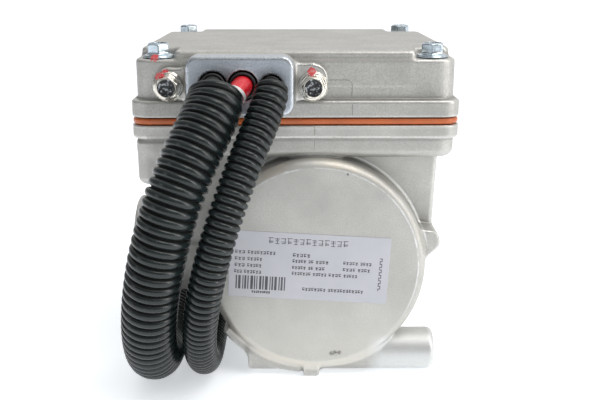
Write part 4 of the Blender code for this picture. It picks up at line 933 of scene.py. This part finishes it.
def add_torque_paint():
    """Red marks that show that a bolt was tightened: films over part of a surface."""
    def cover_bolt(x, y, z):
        bolt_x, bolt_y = COVER_BOLTS[0]
        return np.minimum(bolt_head(x - bolt_x, y - bolt_y, z - PAD_Z - 0.3), lid(x, y, z))

    def block_bolts(x, y, z):
        heads = [bolt_head(x - bolt_x, z - BLOCK_BOLT_Z, EAR_FRONT_Y - 0.3 - y, BLOCK_BOLT_FLANGE_R)
                 for bolt_x in BLOCK_BOLT_X]
        return np.minimum.reduce([*heads, block(x, y, z)])

    for name, solid, centre, spread in (
            ("paint_1", cover_bolt, (-66.9, -71.0, 163.3), (2.0, 2.4, 2.2)),
            ("paint_2", block_bolts, (-63.6, -79.5, 155.3), (2.3, 3.0, 2.1)),
            ("paint_3", block_bolts, (-61.2, -78.6, 157.5), (1.9, 1.2, 1.1)),
            ("paint_4", block_bolts, (7.6, -79.2, 157.3), (2.1, 2.6, 2.1))):
        def film(x, y, z):
            far = np.sqrt(sum(((p - c) / s) ** 2 for p, c, s in zip((x, y, z), centre, spread)))
            ragged = 0.22 * np.sin(2.9 * x + 1.3 * z) * np.cos(3.7 * z - 1.9 * y)
            ragged += 0.16 * np.sin(5.1 * x - 4.3 * z)
            return np.maximum(solid(x, y, z) - 0.14, (far - 1.0 + ragged) * min(spread))
        low, high = ([c + side * s for c, s in zip(centre, spread)] for side in (-1.35, 1.35))
        put(name, surface(name, film, low, high, 0.3, 0.5), "torque_paint")


def add_outlets():
    """Grommets with a rolled lip, the leads in them and the red sleeve."""
    front = BLOCK_FRONT_Y
    for k, (x, radius) in enumerate(CABLE_HOLES):
        inner, edge = (4.7, 5.0, 3.5)[k], radius - 0.1
        profile = [(inner - 0.6, -73.6), (radius - 0.3, -73.6), (radius - 0.3, front + 0.8),
                   (edge, front + 0.1), (edge, front - 0.5), (edge - 0.35, front - 1.0),
                   (inner + 0.4, front - 1.1), (inner + 0.05, front - 0.6), (inner, front + 1.5),
                   (inner - 0.6, front + 3.0)]
        name = f"grommet_{k + 1}"
        put(name, to_mesh(name, *lathe(profile, (x, 0, CABLE_Z))), "black_rubber",
            stands_for=[f"cable_grommet_{k + 1}"])
    for name, radius, route in (
            ("hv_lead", 4.6, [(-38.4, -76, 151.8), (-38.4, -86, 151.8), (-38.0, -91.5, 151.6),
                              (-37.4, -97.5, 149.4), (-37.6, -103.0, 145.2)]),
            ("lv_lead", 3.4, [(-11.3, -76, 151.8), (-11.3, -86, 151.8), (-11.2, -90.5, 152.4),
                              (-11.0, -94.5, 152.2), (-11.4, -99.0, 149.6)])):
        path, length = smooth_path(route, 0.6)
        stations = [(s, radius) for s in np.linspace(0, length, 26)]
        put(name, to_mesh(name, *swept(path, stations, 24)), "black_rubber")
    path, length = smooth_path(SLEEVE_ROUTE, 0.4)
    stations = [(s, 4.74 + 0.05 * math.sin(s * 2.1) + 0.04 * math.sin(s * 5.3 + 1.0))
                for s in np.linspace(0.0, length - 0.6, 60)]
    stations += [(length - 0.2, 4.5), (length, 4.1)]
    put("red_sleeve_shown", to_mesh("red_sleeve_shown", *swept(path, stations, 32)), "red_sleeve",
        stands_for=["red_sleeve"])
    wrap = [(s, 4.98) for s in np.linspace(length - 10.9, length - 9.4, 5)]
    put("sleeve_wrap", to_mesh("sleeve_wrap", *swept(path, wrap, 32)), "white_tape")


# ---------------------------------------------------------------- label

def add_label():
    """Film on the drum's face with generic strokes where the real one has print."""
    turn = Matrix.Translation((np.array((6.5, -78.82, 60.3)) + ORIGIN) * MM) @ \
        Matrix.Rotation(math.radians(3.4), 4, "Y")
    outline = rounded_outline(39.8, 17.3, 0.8, 4)
    sections = [(0.0, 0.34), (0.0, 0.06), (0.08, 0.0)]
    points = [(x * (1 - inset / 40), y, z * (1 - inset / 17)) for inset, y in sections for x, z in outline]
    mesh = to_mesh("label", points, skin(3, len(outline), flip=True), smooth=False, moved=False)
    put("label", mesh, "label_film", stands_for=["rating_label"], matrix=turn)
    parts = []

    def bar(u, v, width, height):
        corners = [(u + i * width / 2, v + j * height / 2) for i, j in ((-1, -1), (1, -1), (1, 1), (-1, 1))]
        parts.append(([(cu, y, cv) for y in (-0.015, 0.03) for cu, cv in corners], skin(2, 4, flip=True)))

    def sign(u, v, width, height, k):
        """Generic mark: a few strokes chosen by k that spell nothing."""
        middle = u + width / 2
        bar(middle, v + height * (0.5, 0.34, 0.42)[k % 3], width, 0.34)
        bar(middle, v - height * (0.1, 0.0, 0.16)[k % 3], width * (1.0, 0.7)[k % 2], 0.32)
        bar(middle, v - height * (0.46, 0.3, 0.5)[(k + 1) % 3], width * 0.8, 0.34)
        bar(u + width * (0.25, 0.5, 0.8)[k % 3], v, 0.36, height)

    for u, v, lengths, height in PRINT_LINES:
        k = 0
        for length in lengths:
            signs = max(1, round(length / (height * 1.05)))
            pitch = length / signs
            for n in range(signs):
                sign(u + n * pitch, v, pitch * 0.8, height, k)
                k += 1
            u += length + 0.9
    for row in range(12):
        bar(35.6, 6.4 - 1.45 * row, 1.4, 0.42)
        bar(35.6 + (0.45, -0.45)[row % 2], 5.7 - 1.45 * row, 0.4, 1.0)
    u = -36.3
    for k, width in enumerate(STRIPES):
        bar(u + width / 2, -9.5, width, 7.2)
        u += width + (0.6, 0.9, 0.5)[k % 3]
    mesh = to_mesh("label_print", *joined(parts), smooth=False, moved=False)
    put("label_print", mesh, "print_ink", matrix=turn)


# ---------------------------------------------------------------- casting marks

def add_casting_marks():
    """Fine lines left by the die: an insert's outline and two parting lines."""
    lines = [
        [(15.4, -72.74, 152.6), (20.0, -72.74, 152.7), (24.6, -72.74, 152.6), (26.2, -72.73, 151.8),
         (26.9, -72.68, 150.4), (26.9, -72.6, 147.0), (26.9, -72.6, 144.4)],
        [(26.9, -76.5, 141.6), (26.9, -76.5, 139.0), (26.9, -76.5, 136.4)],
        [(9.0, -76.5, 130.9), (9.0, -76.5, 128.6), (9.0, -76.5, 126.4)],
        [(9.0, -72.5, 123.4), (9.0, -72.5, 121.0), (8.9, -72.5, 118.9)],
    ]
    parts = []
    for route in lines:
        path, length = smooth_path(route, 0.5)
        stations = [(s, 0.11) for s in np.linspace(0.0, length, 40)]
        parts.append(swept(path, stations, 8))
    put("casting_marks", to_mesh("casting_marks", *joined(parts)), "parting_shade")


# ---------------------------------------------------------------- connectors

def plug(x, y, z, start, middle_y, length, half_y, half_z):
    """Connector body on its side: collar, ribbed shell, latch and socket with blades."""
    u, v, w = x - start, y - middle_y, z - half_z - 0.3
    neck = slab(rect(v, w, half_y * 0.7, half_z * 0.7, half_z * 0.5), u, 0.0, length * 0.36, 1.0)
    shell = slab(rect(v, w, half_y, half_z, 3.0), u, length * 0.3, length, 1.2, 0.6)
    body = blend(neck, shell, 1.5)
    for k in range(3):
        groove = np.abs(u - length * (0.38 + 0.05 * k)) - 0.5
        body = carve(body, np.maximum(groove, -rect(v, w, half_y - 0.7, half_z - 0.7, 2.5)), 0.4)
    latch = slab(rect(u - length * 0.62, v, length * 0.17, half_y * 0.3, 1.0), w, half_z - 1.5,
                 half_z + 2.0, 0.3, 0.8)
    body = blend(body, latch, 0.8)
    socket = slab(rect(v, w, half_y - 2.2, half_z - 2.3, 1.5), u, length * 0.55, length + 5, 0.5)
    body = carve(body, socket, 0.5)
    for offset in (-half_y * 0.4, half_y * 0.4):
        blade = slab(rect(v - offset, w, 1.2, half_z * 0.45, 0.4), u, length * 0.5, length - 3.0, 0.3)
        body = np.minimum(body, blade)
    return body


def add_plugs():
    for name, node, mat, args in (
            ("hv_plug", "hv_connector", "orange_plastic", (38.3, 163.0, 44.0, 16.0, 14.0)),
            ("lv_plug", "lv_connector", "dark_plastic", (26.3, 133.2, 28.0, 9.5, 9.0))):
        start, middle_y, length, half_y, half_z = args
        low = (start - 1.5, middle_y - half_y - 1.5, -1.0)
        high = (start + length + 1.5, middle_y + half_y + 1.5, 2 * half_z + 4.0)
        mesh = surface(name, lambda x, y, z, a=args: plug(x, y, z, *a), low, high, 0.8, 0.35)
        put(name, mesh, mat, stands_for=[node])


# ---------------------------------------------------------------- carried-over nodes

def finish_nodes():
    """CAD nodes that stay get their slot's procedural material."""
    slots = {row["node"]: row["material_slot"] for row in frame["record"]["subparts"]}
    for name, obj in frame["nodes"].items():
        mat = MATERIALS[slots[name]]
        obj.data.materials.clear()
        obj.data.materials.append(mat)


# ---------------------------------------------------------------- studio

def add_light(name, place, target, size, power, colour):
    data = bpy.data.lights.new(name, "AREA")
    data.shape = "RECTANGLE"
    data.size, data.size_y = size
    data.energy = power
    data.color = colour
    light = bpy.data.objects.new(name, data)
    light.location = place
    light.rotation_euler = (Vector(target) - Vector(place)).to_track_quat("-Z", "Y").to_euler()
    bpy.context.scene.collection.objects.link(light)


def add_floor():
    m = Nodes("floor", (0.9, 0.9, 0.9), 0.7, 0.0)
    m.set(Emission_Color=(0.94, 0.97, 1.0), Emission_Strength=0.52)
    m.set(Base_Color=m.mix(m.ramp(m.noise(300.0), 0.3, 0.7), (0.88, 0.90, 0.93), (0.90, 0.92, 0.95)))
    mesh = bpy.data.meshes.new("floor")
    mesh.from_pydata([(-6, -6, 0), (6, -6, 0), (6, 6, 0), (-6, 6, 0)], [], [(0, 1, 2, 3)])
    mesh.materials.append(m.material)
    ground = bpy.data.objects.new("floor", mesh)
    ground.location.z = -0.0002
    bpy.context.scene.collection.objects.link(ground)


def add_world():
    """White room that is brightest overhead and behind, and dimmer in front."""
    world = bpy.data.worlds.new("studio")
    world.use_nodes = True
    w = Wiring(world.node_tree, "Generated")
    x, y, z = w.axes()
    room = w.math("ADD", w.ramp(y, -0.9, 0.7, FRONT_DIM, BACK_BRIGHT, "SMOOTHSTEP"),
                  w.ramp(z, 0.0, 0.9, 0.0, TOP_EXTRA, "SMOOTHSTEP"))
    room = w.times(room, w.ramp(x, -0.9, -0.1, LEFT_SHADE, 1.0, "SMOOTHSTEP"))
    seen = w.times(w.make("LightPath").outputs["Is Camera Ray"], WHITE_BEHIND)
    w.fill(w.tree.nodes["Background"], Color=(1.0, 1.0, 1.0), Strength=w.math("MAXIMUM", room, seen))
    bpy.context.scene.world = world


def add_studio():
    add_floor()
    add_world()
    bpy.context.scene.view_settings.view_transform = "Standard"
    add_light("key", (0.4, -0.4, 0.95), (0.0, -0.05, 0.1), (0.7, 0.5), 3.4, (1.0, 0.99, 0.97))
    add_light("right_strip", (0.85, -0.45, 0.4), (0.0, 0.0, 0.08), (0.3, 0.7), 3.0, (1.0, 0.98, 0.95))
    add_light("left_strip", (-0.8, -0.5, 0.35), (-0.05, -0.1, 0.08), (0.25, 0.7), 0.5, (0.9, 0.95, 1.0))


add_camera()
MATERIALS = make_materials()
add_outlets()
add_plugs()
add_conduit("hv_conduit_tube", HV_ROUTE, HV_R, HV_PITCH, 2.0, 40)
add_conduit("lv_conduit_tube", LV_ROUTE, LV_R, LV_PITCH, 1.5, 32)
finish_nodes()
add_castings()
add_lid_seal()
add_bolts()
add_torque_paint()
add_label()
add_casting_marks()
add_studio()
